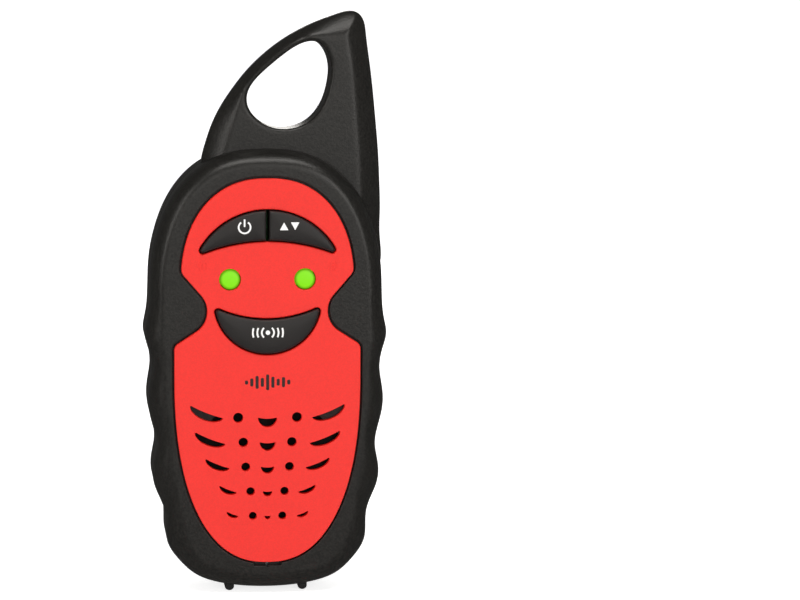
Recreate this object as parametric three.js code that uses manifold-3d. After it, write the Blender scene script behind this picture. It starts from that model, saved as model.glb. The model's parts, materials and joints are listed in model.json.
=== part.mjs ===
// A toy walkie talkie for children: a two-shell case with a looped antenna fin, a red face plate whose
// openings make a smiling face, three sprung keys, two indicator lamps, a speaker behind a grille, a
// battery bay for three AAA cells with a screwed cover, and a sprung belt clip on the back.
//
// Millimetres, +Z up, the face looks along -Y, +X is the right-hand side as seen from the front.
// The handset stands on its feet at Z = 0, centred on X and Y.

import * as THREE from "three";
import { mergeVertices } from "three/addons/utils/BufferGeometryUtils.js";
import Module from "manifold-3d";

const wasm = await Module();
wasm.setup();

// ---------------------------------------------------------------- driving sizes

const FIT = 0.3; // gap between pieces that only touch
const BODY_WIDTH = 59.8; // over the widest grip crest
const BODY_HEIGHT = 109.1; // case without fin and feet
const FOOT_RISE = 1.0; // ground to the lowest point of the case
const CASE_WALL = 2.0;
const FLOOR = 1.5; // the front shell's panel behind the face plate
const EDGE_INSET = 4.1; // flat front or back to the outline
const EDGE_DEPTH = 6.0; // how deep that rounded edge runs
const OUTLINE_POINTS = 64;

const FIN_HEIGHT = 33.5; // fin above the case
const FIN_THICKNESS = 11.0;
const FIN_WALL = 1.8;
const FIN_EDGE = 3.2; // rounding of the fin's rim
const FIN_POINTS = 44;
const HOLE_POINTS = 24;

const PLATE_THICKNESS = 1.8;
const PLATE_PROUD = 0.4; // plate above the bezel
const PLATE_GAP = 0.45; // groove round the plate
const BEZEL_TOP = 6.8; // outline to plate, at the top, the bottom and the sides
const BEZEL_BOTTOM = 7.2;
const BEZEL_UPPER = 8.7;
const BEZEL_LOWER = 7.0;
const BEZEL_WAIST = 15.1;
const WAIST_RADIUS = 6.0;
const WAIST_TO_UPPER_CORNER = 9.6;
const WAIST_TO_LOWER_CORNER = 8.5;
const PLATE_CORNER = 1.1;
const PLATE_STRAIGHT = 7.5; // straight side below the lower corner
const PLATE_TAPER = 0.085; // how much the upper lobe's sides lean in
const NOTCH_HALF_WIDTH = 3.4; // microphone slot under the plate
const NOTCH_REACH = 0.55;
const MIC_RADIUS = 1.9;
const MIC_THICKNESS = 1.6;
const MIC_HOLE_RADIUS = 0.4;

const KEY_PROUD = 0.9; // key above the plate
const KEY_CLEARANCE = 0.35;
const KEY_SPLIT = 0.75; // gap between the two upper keys
const KEY_FLANGE = 0.8; // how far the flange reaches past the opening
const KEY_FLANGE_THICKNESS = 1.0;
const KEY_POST_LENGTH = 0.7;
const KEY_POST_RADIUS = 1.6;
// A crescent opening: `inner` is the hollow arc's level above the waist, `height` the distance from it
// to the bulging arc, and `bulge` says which way that arc points.
const UPPER_OPENING = { inner: 17.05, height: 7.95, outerRadius: 19.35, innerRadius: 43.4, tip: 0.9, bulge: 1 };
const LOWER_OPENING = { inner: -1.8, height: 9.05, outerRadius: 13.35, innerRadius: 29.1, tip: 0.9, bulge: -1 };
const UPPER_SWITCH_X = 7.4;
const UPPER_SWITCH_LEVEL = 19.4;
const LOWER_SWITCH_LEVEL = -7.2;

const LAMP_RADIUS = 2.5; // a 5 mm indicator lamp
const LAMP_CLEARANCE = 0.15;
const LAMP_X = 9.2;
const LAMP_LEVEL = 7.8;
const LAMP_COLLAR = 0.4; // collar past the lamp's body
const LAMP_RECESS = 0.15;

// The grille's rows, from the top. Each holds two dots, a smile between them and two wings.
const GRILLE_LEVEL = -26.35; // the first row's dots, from the waist
const GRILLE_PITCH = 6.13;
const WING_SLOPE = THREE.MathUtils.degToRad(22);
const GRILLE_ROWS = [
  { dotX: 7.25, dotRadius: 1.22, smile: [4.75, 2.45], wingX: 14.95, wingRise: 1.55, wing: [8.7, 2.2] },
  { dotX: 6.0, dotRadius: 1.15, smile: [3.9, 2.2], wingX: 14.1, wingRise: 1.15, wing: [8.1, 2.0] },
  { dotX: 5.4, dotRadius: 1.08, smile: [3.3, 1.75], wingX: 12.3, wingRise: 0.9, wing: [6.4, 1.65] },
  { dotX: 4.2, dotRadius: 1.02, smile: [2.35, 1.3], wingX: 9.7, wingRise: 0.65, wing: [4.6, 1.3] },
  { dotX: 3.65, dotRadius: 0.97, smile: [1.5, 0.95], wingX: 8.6, wingRise: 0.55, wing: [3.1, 1.0] },
];

const SPEAKER_RADIUS = 20;
const SPEAKER_LEVEL = -39.6; // its centre, from the waist
const SPEAKER_RIM = 1.5;
const SPEAKER_RIM_THICKNESS = 1.2;
const SPEAKER_DEPTH = 7.4;
const SPEAKER_RIB = 1.2;
const MAGNET_RADIUS = 8.5;
const MAGNET_THICKNESS = 3.0;
const CLOTH_THICKNESS = 0.3;

const BOARD_THICKNESS = 1.6;
const BOARD_CORNER = 5.0;
const SWITCH_SIZE = 6.0; // tact switch, square
const SWITCH_HEIGHT = 3.5;
const SWITCH_PLUNGER = 1.5; // plunger above the switch
const SWITCH_PLUNGER_RADIUS = 1.7;
const KEY_TRAVEL_ROOM = 0.9; // how deep the plunger's well is

const CELL_RADIUS = 5.25; // AAA
const CELL_LENGTH = 44.5;
const CELL_NUB_RADIUS = 1.9;
const CELL_NUB_LENGTH = 0.8;
const CELL_COUNT = 3;
const BAY_WALL = 1.2;
const SPRING_LENGTH = 5.0;
const SPRING_WIRE = 0.35;
const SPRING_TURNS = 4;
const CONTACT_THICKNESS = 0.4;
const CONTACT_WIDTH = 8.4;
const COVER_THICKNESS = 1.6;
const COVER_LEDGE = 1.6;
const COVER_TONGUE_HALF_WIDTH = 4.6;
const COVER_CORNER = 2.0;

const SCREW_RADIUS = 1.25;
const SCREW_HEAD_RADIUS = 2.6;
const SCREW_HEAD_THICKNESS = 1.8;
const SCREW_LENGTH = 9.0;
const BOSS_WALL = 1.0;
const FRONT_BOSS_RADIUS = 3.0;
const SEAT_BEHIND_SEAM = 4.0; // seam to the seat of a case screw's head
const TOP_BOSS = { level: 21.6, inset: 7.1 }; // level from the waist, inset from the outline
const MIDDLE_BOSS = { level: -4.4, inset: 7.2 };
const BOTTOM_BOSS = { x: 13.0, rise: 6.6 }; // rise from the lowest point of the case

const CLIP_WIDTH = 18;
const CLIP_THICKNESS = 1.8;
const CLIP_PIN_RADIUS = 1.0;
const CLIP_KNUCKLE_RADIUS = 1.9;
const CLIP_LUG_RADIUS = 1.7;
const CLIP_PIN_RISE = 2.3; // back of the case to the pin
const CLIP_DROP = 30.0; // pin to the clip's lower end
const CLIP_LEVER = 6.0; // pin to its upper end
const CLIP_PIN_DROP = 13.0; // top of the case to the pin
const CLIP_HOOK = 3.0;
const CLIP_SPRING_TURNS = 4;
const CLIP_SPRING_WIRE = 0.3;
const LUG_THICKNESS = 2.0;
const KNUCKLE_THICKNESS = 2.6;

const FOOT_WIDTH = 2.3;
const FOOT_X = 9.1;
const FOOT_TOP = 3.6;
const FRONT_FOOT = [5.0, 11.4]; // depths
const REAR_FOOT_LENGTH = 10.5;

const COIL_RADIUS = 2.6;
const COIL_WIRE = 0.4;
const COIL_TURNS = 9;
const COIL_SHARE = [-0.3, 0.62]; // its ends, as shares of the fin's height above the case
const COIL_X_SHARE = 0.7; // of half the body's width

// ---------------------------------------------------------------- levels and depths worked out from them

const halfWidth = BODY_WIDTH / 2;
const bodyBottom = FOOT_RISE;
const bodyTop = bodyBottom + BODY_HEIGHT;
const waist = bodyBottom + 0.6393 * BODY_HEIGHT;
const plateTop = bodyTop - BEZEL_TOP;
const plateBottom = bodyBottom + BEZEL_BOTTOM;
const micZ = plateBottom - PLATE_GAP - 0.7 * NOTCH_REACH;

// Depths run backwards from the flat front of the bezel.
const plateFront = -PLATE_PROUD;
const plateBack = plateFront + PLATE_THICKNESS;
const floorFront = plateBack + FIT;
const floorBack = floorFront + FLOOR;
const keyFront = plateFront - KEY_PROUD;
const flangeFront = floorBack + FIT;
const flangeBack = flangeFront + KEY_FLANGE_THICKNESS;
const postEnd = flangeBack + KEY_POST_LENGTH;
const plungerFront = postEnd + FIT;
const switchFront = plungerFront + SWITCH_PLUNGER;
const switchBack = switchFront + SWITCH_HEIGHT;
const boardFront = switchBack + FIT;
const boardBack = boardFront + BOARD_THICKNESS;
const bayFront = boardBack + 2 * FIT;
const cellCentre = bayFront + BAY_WALL + FIT + CELL_RADIUS;
const ledgeBack = cellCentre + CELL_RADIUS;
const coverFront = ledgeBack + FIT;
const backFace = coverFront + COVER_THICKNESS;
const seam = boardBack - 0.4; // the back edge of the front shell
const rearSeam = seam + FIT;
const headSeat = seam + SEAT_BEHIND_SEAM;
const pinDepth = backFace + CLIP_PIN_RISE;
const clipFront = pinDepth + CLIP_KNUCKLE_RADIUS + 0.1;
const clipBack = clipFront + CLIP_THICKNESS;
const finFront = (seam + rearSeam) / 2 - FIN_THICKNESS / 2;
const finBack = finFront + FIN_THICKNESS;

const depthCentre = (keyFront + clipBack) / 2;
const yAt = (depth) => depth - depthCentre;

// ---------------------------------------------------------------- materials

const plastic = (color, roughness = 0.55) => new THREE.MeshStandardMaterial({ color, roughness, metalness: 0 });
const metal = (color, roughness = 0.35) => new THREE.MeshStandardMaterial({ color, roughness, metalness: 1 });
const materials = {
  casing: plastic(0x2b2b29, 0.5),
  face: plastic(0xe0291a, 0.45),
  keys: plastic(0x2a2b2b, 0.6),
  lamp: plastic(0x7ee01a, 0.25),
  rubber: plastic(0x161616, 0.85),
  board: plastic(0x14532d, 0.5),
  chip: plastic(0x101012, 0.4),
  switch: plastic(0x1c1c1e, 0.5),
  steel: metal(0xb9bcc0),
  brass: metal(0xc9a24a),
  copper: metal(0xb8683a),
  cone: plastic(0x1a1a1a, 0.8),
  cloth: plastic(0x0c0c0c, 0.95),
  cell: plastic(0x2e6fb5, 0.3),
};

// ---------------------------------------------------------------- solids

// A closed geometry as a manifold-3d solid, turned the right way out.
function solidOf(geometry) {
  const bare = new THREE.BufferGeometry();
  bare.setAttribute("position", geometry.getAttribute("position"));
  if (geometry.index) bare.setIndex(geometry.index);
  const merged = mergeVertices(bare, 1e-4);
  const triVerts = new Uint32Array(merged.index.array);
  const build = () =>
    new wasm.Manifold(new wasm.Mesh({ numProp: 3, vertProperties: merged.attributes.position.array, triVerts }));
  const made = build();
  if (made.volume() > 0) return made;
  for (let i = 0; i < triVerts.length; i += 3) triVerts.subarray(i, i + 3).reverse();
  return build();
}

// A solid back as a named mesh.
function meshOf(name, solid, material) {
  const { numProp, numVert, vertProperties, triVerts } = solid.getMesh();
  const positions = new Float32Array(numVert * 3);
  for (let i = 0; i < numVert; i++) positions.set(vertProperties.subarray(i * numProp, i * numProp + 3), i * 3);
  const geometry = new THREE.BufferGeometry();
  geometry.setAttribute("position", new THREE.BufferAttribute(positions, 3));
  geometry.setIndex(new THREE.BufferAttribute(new Uint32Array(triVerts), 1));
  const mesh = new THREE.Mesh(geometry, material);
  mesh.name = name;
  return mesh;
}

const union = (solids) => solids.reduce((sum, next) => sum.add(next));
const cut = (solid, tools) => tools.reduce((left, tool) => left.subtract(tool), solid);

// An outline in X and Z, extruded from one depth to another.
function prism(outline, from, to) {
  const geometry = new THREE.ExtrudeGeometry(new THREE.Shape(outline), { depth: to - from, bevelEnabled: false });
  geometry.rotateX(Math.PI / 2);
  geometry.translate(0, yAt(to), 0);
  return solidOf(geometry);
}

// A skin over rings that share one number of points, each { outline, depth }, closed at both ends.
function loft(rings) {
  const count = rings[0].outline.length;
  const positions = rings.flatMap(({ outline, depth }) => outline.flatMap((p) => [p.x, yAt(depth), p.y]));
  const index = [];
  for (let ring = 0; ring + 1 < rings.length; ring++)
    for (let i = 0; i < count; i++) {
      const [a, b, j] = [ring * count, (ring + 1) * count, (i + 1) % count];
      index.push(a + i, b + i, b + j, a + i, b + j, a + j);
    }
  const last = (rings.length - 1) * count;
  for (const [a, b, c] of THREE.ShapeUtils.triangulateShape(rings[0].outline, [])) index.push(a, b, c);
  for (const [a, b, c] of THREE.ShapeUtils.triangulateShape(rings.at(-1).outline, []))
    index.push(last + a, last + c, last + b);
  const geometry = new THREE.BufferGeometry();
  geometry.setAttribute("position", new THREE.Float32BufferAttribute(positions, 3));
  geometry.setIndex(index);
  return solidOf(geometry);
}

// A profile of [radius, depth] points turned about the line along Y through (x, z).
function turned(profile, x, z, segments = 24) {
  const points = profile.map(([radius, depth]) => new THREE.Vector2(radius, yAt(depth)));
  return solidOf(new THREE.LatheGeometry(points, segments)).translate([x, 0, z]);
}

const rod = (radius, from, to, x, z, segments = 24) =>
  turned([[0, from], [radius, from], [radius, to], [0, to]], x, z, segments);

function box([x0, x1], [from, to], [z0, z1]) {
  const geometry = new THREE.BoxGeometry(x1 - x0, to - from, z1 - z0);
  geometry.translate((x0 + x1) / 2, (yAt(from) + yAt(to)) / 2, (z0 + z1) / 2);
  return solidOf(geometry);
}

// A cylinder along X.
function bar(radius, [x0, x1], depth, z, segments = 20) {
  const geometry = new THREE.CylinderGeometry(radius, radius, x1 - x0, segments);
  geometry.rotateZ(Math.PI / 2);
  geometry.translate((x0 + x1) / 2, yAt(depth), z);
  return solidOf(geometry);
}

// A wire of round section along a curve.
function wireAlong(curve, radius, steps, sides = 4) {
  const section = new THREE.Shape(circle(0, 0, radius, sides));
  return solidOf(new THREE.ExtrudeGeometry(section, { steps, extrudePath: curve, bevelEnabled: false }));
}

// A coil about an axis along Z through the origin, from z = 0 to z = length.
class Helix extends THREE.Curve {
  constructor(radiusAt, length, turns) {
    super();
    Object.assign(this, { radiusAt, length, turns });
  }
  getPoint(t, target = new THREE.Vector3()) {
    const [angle, radius] = [t * this.turns * 2 * Math.PI, this.radiusAt(t)];
    return target.set(radius * Math.cos(angle), radius * Math.sin(angle), t * this.length);
  }
}

// ---------------------------------------------------------------- outlines

const point = (x, z) => new THREE.Vector2(x, z);

function circle(x, z, radius, points = 24) {
  return Array.from({ length: points }, (_, i) => {
    const angle = (i / points) * 2 * Math.PI;
    return point(x + radius * Math.cos(angle), z + radius * Math.sin(angle));
  });
}

// Points on an arc from one angle to another, both ends included.
const arc = (x, z, radius, start, end, points) =>
  Array.from({ length: points }, (_, i) => {
    const angle = start + ((end - start) * i) / (points - 1);
    return point(x + radius * Math.cos(angle), z + radius * Math.sin(angle));
  });

// A closed smooth curve through points, as that many evenly spaced points.
function smooth(points, count) {
  const curve = new THREE.CatmullRomCurve3(points.map((p) => new THREE.Vector3(p.x, p.y, 0)), true, "centripetal");
  curve.arcLengthDivisions = 40 * points.length;
  return curve.getSpacedPoints(count).slice(0, count).map((p) => point(p.x, p.y));
}

// An anticlockwise outline moved outwards along its normals, or inwards by a negative distance.
function grown(outline, distance) {
  const count = outline.length;
  return outline.map((p, i) => {
    const before = p.clone().sub(outline[(i + count - 1) % count]).normalize();
    const after = outline[(i + 1) % count].clone().sub(p).normalize();
    const along = before.add(after).normalize();
    return point(p.x + along.y * distance, p.y - along.x * distance);
  });
}

// A right half from top to bottom, mirrored into a whole anticlockwise outline.
function mirrored(half) {
  const left = half.filter((p) => p.x > 1e-6).map((p) => point(-p.x, p.y));
  return [...half.slice().reverse(), ...left];
}

// A quarter of a superellipse, from (0, b) to (a, 0) for positive b, or (a, 0) to (0, b) for negative b,
// whose side leans in by `taper` of its width.
function superellipse(a, level, b, exponent, points, taper = 0) {
  const quarter = Array.from({ length: points }, (_, i) => {
    const angle = ((i / (points - 1)) * Math.PI) / 2;
    const rise = Math.cos(angle) ** (2 / exponent);
    return point(a * (1 - taper * rise) * Math.sin(angle) ** (2 / exponent), level + b * rise);
  });
  return b > 0 ? quarter : quarter.reverse();
}

const SHOULDER = 0.6408; // where the crown starts, as a share of the height
const CROWN_WIDTH = 0.968; // its width there, as a share of the case's
// The finger grips and the bottom, as shares of half the width and of the height.
const GRIPS = [
  [0.987, 0.6075], [1, 0.5807], [0.968, 0.5449], [0.945, 0.5047], [0.96, 0.4704], [0.975, 0.4351],
  [0.958, 0.3939], [0.91, 0.3343], [0.922, 0.302], [0.94, 0.2697], [0.922, 0.2335], [0.866, 0.1967],
  [0.836, 0.1649], [0.8325, 0.1276], [0.815, 0.1013], [0.74, 0.0688], [0.607, 0.0338], [0.5, 0.0188],
  [0.36, 0.0086], [0.18, 0.0019], [0, 0],
];
// The same side without the grips, for the flat front and back.
const SIDES = [
  [0.945, 0.4635], [0.9, 0.3244], [0.845, 0.2051], [0.775, 0.1137], [0.66, 0.052], [0.46, 0.0184],
  [0.22, 0.0042], [0, 0],
];

function caseOutline(lower) {
  const level = bodyBottom + SHOULDER * BODY_HEIGHT;
  const upper = superellipse(CROWN_WIDTH * halfWidth, level, bodyTop - level, 2.45, 9);
  const below = lower.map(([x, z]) => point(x * halfWidth, bodyBottom + z * BODY_HEIGHT));
  return mirrored([...upper, ...below]);
}

// The case's outline and its gripless twin, with points that face each other.
const outline = smooth(caseOutline(GRIPS), OUTLINE_POINTS);
const flatOutline = faceEachOther(grown(smooth(caseOutline(SIDES), 4 * OUTLINE_POINTS), -EDGE_INSET), outline);

// For each point of `to`, the nearest point of `from` that keeps their order.
function faceEachOther(from, to) {
  const centre = point(0, bodyBottom + BODY_HEIGHT / 2);
  const angleOf = (p) => Math.atan2((p.y - centre.y) * (BODY_WIDTH / BODY_HEIGHT), p.x - centre.x);
  return to.map((p) => {
    const wanted = angleOf(p);
    const turn = (q) => Math.abs(THREE.MathUtils.euclideanModulo(angleOf(q) - wanted + Math.PI, 2 * Math.PI) - Math.PI);
    return from.reduce((best, q) => (turn(q) < turn(best) ? q : best)).clone();
  });
}

// Half the case's width at a level.
function halfWidthAt(z) {
  const right = outline.filter((p) => p.x > 0).sort((a, b) => a.y - b.y);
  const above = right.findIndex((p) => p.y >= z);
  const [a, b] = [right[Math.max(above - 1, 0)], right[Math.max(above, 0)]];
  return a === b ? a.x : a.x + ((b.x - a.x) * (z - a.y)) / (b.y - a.y);
}

// The fin and its loop, as shares of half the body's width and of the fin's height above the case.
const FIN = [
  [0.95, -0.9], [0.962, -0.65], [0.963, -0.47], [0.958, -0.27], [0.945, -0.03], [0.925, 0.18], [0.899, 0.42],
  [0.869, 0.64], [0.842, 0.82], [0.82, 0.93], [0.777, 0.983], [0.712, 1.0], [0.58, 0.972], [0.441, 0.927],
  [0.24, 0.84], [0.085, 0.75], [-0.04, 0.658], [-0.143, 0.566], [-0.262, 0.432], [-0.362, 0.297],
  [-0.436, 0.162], [-0.488, 0.027], [-0.52, -0.09], [-0.5, -0.3], [0.2, -0.85],
];
const LOOP = [
  [0.27, 0.754], [0.165, 0.695], [0.017, 0.588], [-0.098, 0.485], [-0.14, 0.419], [-0.152, 0.357],
  [-0.13, 0.284], [-0.068, 0.217], [0.017, 0.166], [0.122, 0.142], [0.227, 0.147], [0.333, 0.181],
  [0.42, 0.246], [0.49, 0.347], [0.528, 0.459], [0.542, 0.568], [0.526, 0.66], [0.461, 0.756],
  [0.386, 0.782],
];
const finShape = (shares) => shares.map(([x, z]) => point(x * halfWidth, bodyTop + z * FIN_HEIGHT));
const finOutline = smooth(finShape(FIN), FIN_POINTS);
const loopOutline = smooth(finShape(LOOP), HOLE_POINTS);

// The point where a line from p touches a circle, on the side that `turn` says.
function touch(p, centre, radius, turn) {
  const offset = p.clone().sub(centre);
  const angle = offset.angle() + turn * Math.acos(radius / offset.length());
  return point(centre.x + radius * Math.cos(angle), centre.y + radius * Math.sin(angle));
}

// A corner between two lines, rounded.
function rounded(before, corner, after, reach) {
  const towards = (p) => corner.clone().add(p.clone().sub(corner).setLength(reach));
  return new THREE.QuadraticBezierCurve(towards(before), corner, towards(after)).getPoints(3);
}

// The face plate: an upper and a lower lobe joined at a waist.
function plateOutline() {
  const upper = superellipse(halfWidth - BEZEL_UPPER, waist + WAIST_TO_UPPER_CORNER,
    plateTop - waist - WAIST_TO_UPPER_CORNER, 2.35, 9, PLATE_TAPER);
  const lowerLevel = waist - WAIST_TO_LOWER_CORNER - PLATE_STRAIGHT;
  const lower = superellipse(halfWidth - BEZEL_LOWER, lowerLevel, plateBottom - lowerLevel, 2.35, 12);
  const upperCorner = upper.pop();
  const lowerCorner = point(halfWidth - BEZEL_LOWER, waist - WAIST_TO_LOWER_CORNER);
  const centre = point(halfWidth - BEZEL_WAIST + WAIST_RADIUS, waist);
  const into = touch(upperCorner, centre, WAIST_RADIUS, 1);
  const out = touch(lowerCorner, centre, WAIST_RADIUS, -1);
  const angleTo = (p) => THREE.MathUtils.euclideanModulo(p.clone().sub(centre).angle(), 2 * Math.PI);
  return mirrored([
    ...upper,
    ...rounded(upper.at(-1), upperCorner, into, PLATE_CORNER),
    ...arc(centre.x, centre.y, WAIST_RADIUS, angleTo(into), angleTo(out), 6),
    ...rounded(out, lowerCorner, lower[0], PLATE_CORNER),
    ...lower,
  ]);
}

// A crescent opening for keys, made larger or smaller by `grow`: two arcs that meet in round tips.
function crescent(opening, grow, arcPoints = 9) {
  const outer = { level: opening.height - opening.outerRadius, radius: opening.outerRadius + grow };
  const inner = { level: -opening.innerRadius, radius: opening.innerRadius - grow };
  const tip = opening.tip + grow;
  const [p, q] = [outer.radius - tip, inner.radius + tip];
  const level = (q * q - p * p + outer.level ** 2 - inner.level ** 2) / (2 * (outer.level - inner.level));
  const x = Math.sqrt(p * p - (level - outer.level) ** 2);
  const outerAngle = Math.atan2(level - outer.level, x);
  const innerAngle = Math.atan2(level - inner.level, x);
  const shape = [
    ...arc(0, outer.level, outer.radius, outerAngle, Math.PI - outerAngle, arcPoints),
    ...arc(-x, level, tip, Math.PI - outerAngle, 2 * Math.PI - innerAngle, 5).slice(1, -1),
    ...arc(0, inner.level, inner.radius, Math.PI - innerAngle, innerAngle, arcPoints),
    ...arc(x, level, tip, innerAngle - Math.PI, outerAngle, 5).slice(1, -1),
  ];
  const placed = shape.map((s) => point(s.x, waist + opening.inner + opening.bulge * s.y));
  return opening.bulge > 0 ? placed : placed.reverse();
}

// A slot turned by `angle`: its upper side sags by a share of its height and its lower side bulges.
const SLOT_SAG = 0.14;
const SLOT_FULLNESS = 0.54;
function slot(x, z, [length, height], angle) {
  const side = (depth, power, from, to, points) =>
    Array.from({ length: points }, (_, i) => {
      const u = -Math.cos(Math.PI * (from + ((to - from) * (i + 0.5)) / points));
      return point((u * length) / 2, -depth * (1 - u * u) ** power);
    });
  const shape = [...side(height, SLOT_FULLNESS, 0, 1, 8), ...side(height * SLOT_SAG, 1, 1, 0, 5)];
  return shape.map((p) => p.rotateAround(point(0, 0), angle).add(point(x, z)));
}

const plate = plateOutline();
const recess = grown(plate, PLATE_GAP);

// ---------------------------------------------------------------- bosses and screws

const bossX = ({ level, inset }) => halfWidthAt(waist + level) - inset;
const bosses = {
  top_left: point(-bossX(TOP_BOSS), waist + TOP_BOSS.level),
  top_right: point(bossX(TOP_BOSS), waist + TOP_BOSS.level),
  middle_left: point(-bossX(MIDDLE_BOSS), waist + MIDDLE_BOSS.level),
  middle_right: point(bossX(MIDDLE_BOSS), waist + MIDDLE_BOSS.level),
  bottom_left: point(-BOTTOM_BOSS.x, bodyBottom + BOTTOM_BOSS.rise),
  bottom_right: point(BOTTOM_BOSS.x, bodyBottom + BOTTOM_BOSS.rise),
};
const rearBossRadius = SCREW_HEAD_RADIUS + FIT + BOSS_WALL;
const speakerZ = waist + SPEAKER_LEVEL;
const speakerBack = flangeFront + CLOTH_THICKNESS + FIT + SPEAKER_DEPTH;
const boardBottom = speakerZ + SPEAKER_RADIUS + 2;
const boardTop = plateTop;
const boardHalfWidth = bosses.top_right.x - rearBossRadius - 2 * FIT;
const boardScrews = {
  left: point(3 - boardHalfWidth, boardTop - 4),
  right: point(boardHalfWidth - 3, boardTop - 4),
  lower: point(0, waist + 3.4),
};

// A screw along Y whose head sits at depth 0 and whose shank runs towards the front.
const shankTip = 0.6;
const screwProfile = (length) => [
  [0, -length], [SCREW_RADIUS - shankTip, -length], [SCREW_RADIUS, -length + 2 * shankTip], [SCREW_RADIUS, 0],
  [SCREW_HEAD_RADIUS, 0], [SCREW_HEAD_RADIUS, SCREW_HEAD_THICKNESS * 0.55],
  [SCREW_HEAD_RADIUS * 0.6, SCREW_HEAD_THICKNESS], [0, SCREW_HEAD_THICKNESS],
];
function screw(name, length, at, depth) {
  const mesh = meshOf(name, turned(screwProfile(length), 0, 0, 8), materials.steel);
  mesh.position.set(at.x, depth, at.y);
  return mesh;
}

// ---------------------------------------------------------------- battery bay

const cellPitch = 2 * CELL_RADIUS + FIT;
const bayHalfWidth = (CELL_COUNT * cellPitch + FIT) / 2;
const bayLength = CELL_LENGTH + CELL_NUB_LENGTH + SPRING_LENGTH + 2 * (CONTACT_THICKNESS + 2 * FIT);
// The bay starts above the lower bosses, its wall fused with theirs, or higher, where the case is wide
// enough for it.
function lowestBay() {
  const above = bosses.bottom_left.y + rearBossRadius + BAY_WALL / 2;
  for (let z = above; z < waist; z += 0.5) if (halfWidthAt(z) - CASE_WALL > bayHalfWidth + BAY_WALL) return z;
  return above;
}
const bayBottom = lowestBay();
const bayTop = bayBottom + bayLength;
const coverHalfWidth = bayHalfWidth + BAY_WALL;
const coverTop = bayTop + BAY_WALL;
const coverBottom = bayBottom - BAY_WALL;
const coverScrew = point(0, bodyBottom + 7.2);
const tongueBottom = coverScrew.y - SCREW_HEAD_RADIUS - 0.8;

// The cover's outline: a rectangle with a tongue below it for its screw.
function coverOutline(grow) {
  const [w, t, r] = [coverHalfWidth + grow, COVER_TONGUE_HALF_WIDTH + grow, COVER_CORNER + grow];
  const [top, shoulder, bottom] = [coverTop + grow, coverBottom - grow, tongueBottom - grow];
  return mirrored([
    point(0, top),
    ...arc(w - r, top - r, r, Math.PI / 2, 0, 4),
    ...arc(w - r, shoulder + r, r, 0, -Math.PI / 2, 4),
    point(t, shoulder),
    ...arc(t - r, bottom + r, r, 0, -Math.PI / 2, 4),
    point(0, bottom),
  ]);
}

// ---------------------------------------------------------------- case

// Half of the case and of the fin, from its flat face to the seam. `flat` and `end` are the depths of
// the case's face and the seam, and `finFlat` that of the fin's face.
function caseHalf(flat, end, finFlat) {
  const towards = Math.sign(end - flat);
  const finSign = Math.sign(end - finFlat);
  const steps = [0, 0.15, 0.5, 1];
  const edge = steps.map((t) => ({
    depth: flat + towards * EDGE_DEPTH * t,
    outline: flatOutline.map((p, i) => p.clone().lerp(outline[i], Math.sqrt(1 - (1 - t) ** 2))),
  }));
  const rings = [...edge, { outline, depth: end }];
  const finRings = [
    { outline: grown(finOutline, -FIN_EDGE), depth: finFlat },
    { outline: grown(finOutline, -FIN_EDGE * 0.3), depth: finFlat + finSign * FIN_EDGE * 0.4 },
    { outline: finOutline, depth: finFlat + finSign * FIN_EDGE },
    { outline: finOutline, depth: end },
  ];
  const inOrder = (list) => (towards > 0 ? list : list.slice().reverse());
  return union([loft(inOrder(rings)), loft(inOrder(finRings))]);
}

// The hollow of the fin, between its rim and its loop.
function finHollow(from, to) {
  return cut(prism(grown(finOutline, -FIN_WALL), from, to), [prism(grown(loopOutline, FIN_WALL), from - 1, to + 1)]);
}

const loopCut = () => prism(loopOutline, finFront - 1, finBack + 1);

// A slot in the case's bottom for a foot.
function footSlot(x, [from, to]) {
  return box([x - FOOT_WIDTH / 2 - FIT, x + FOOT_WIDTH / 2 + FIT], [from - FIT, to + FIT], [0, FOOT_TOP + FIT]);
}

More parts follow.
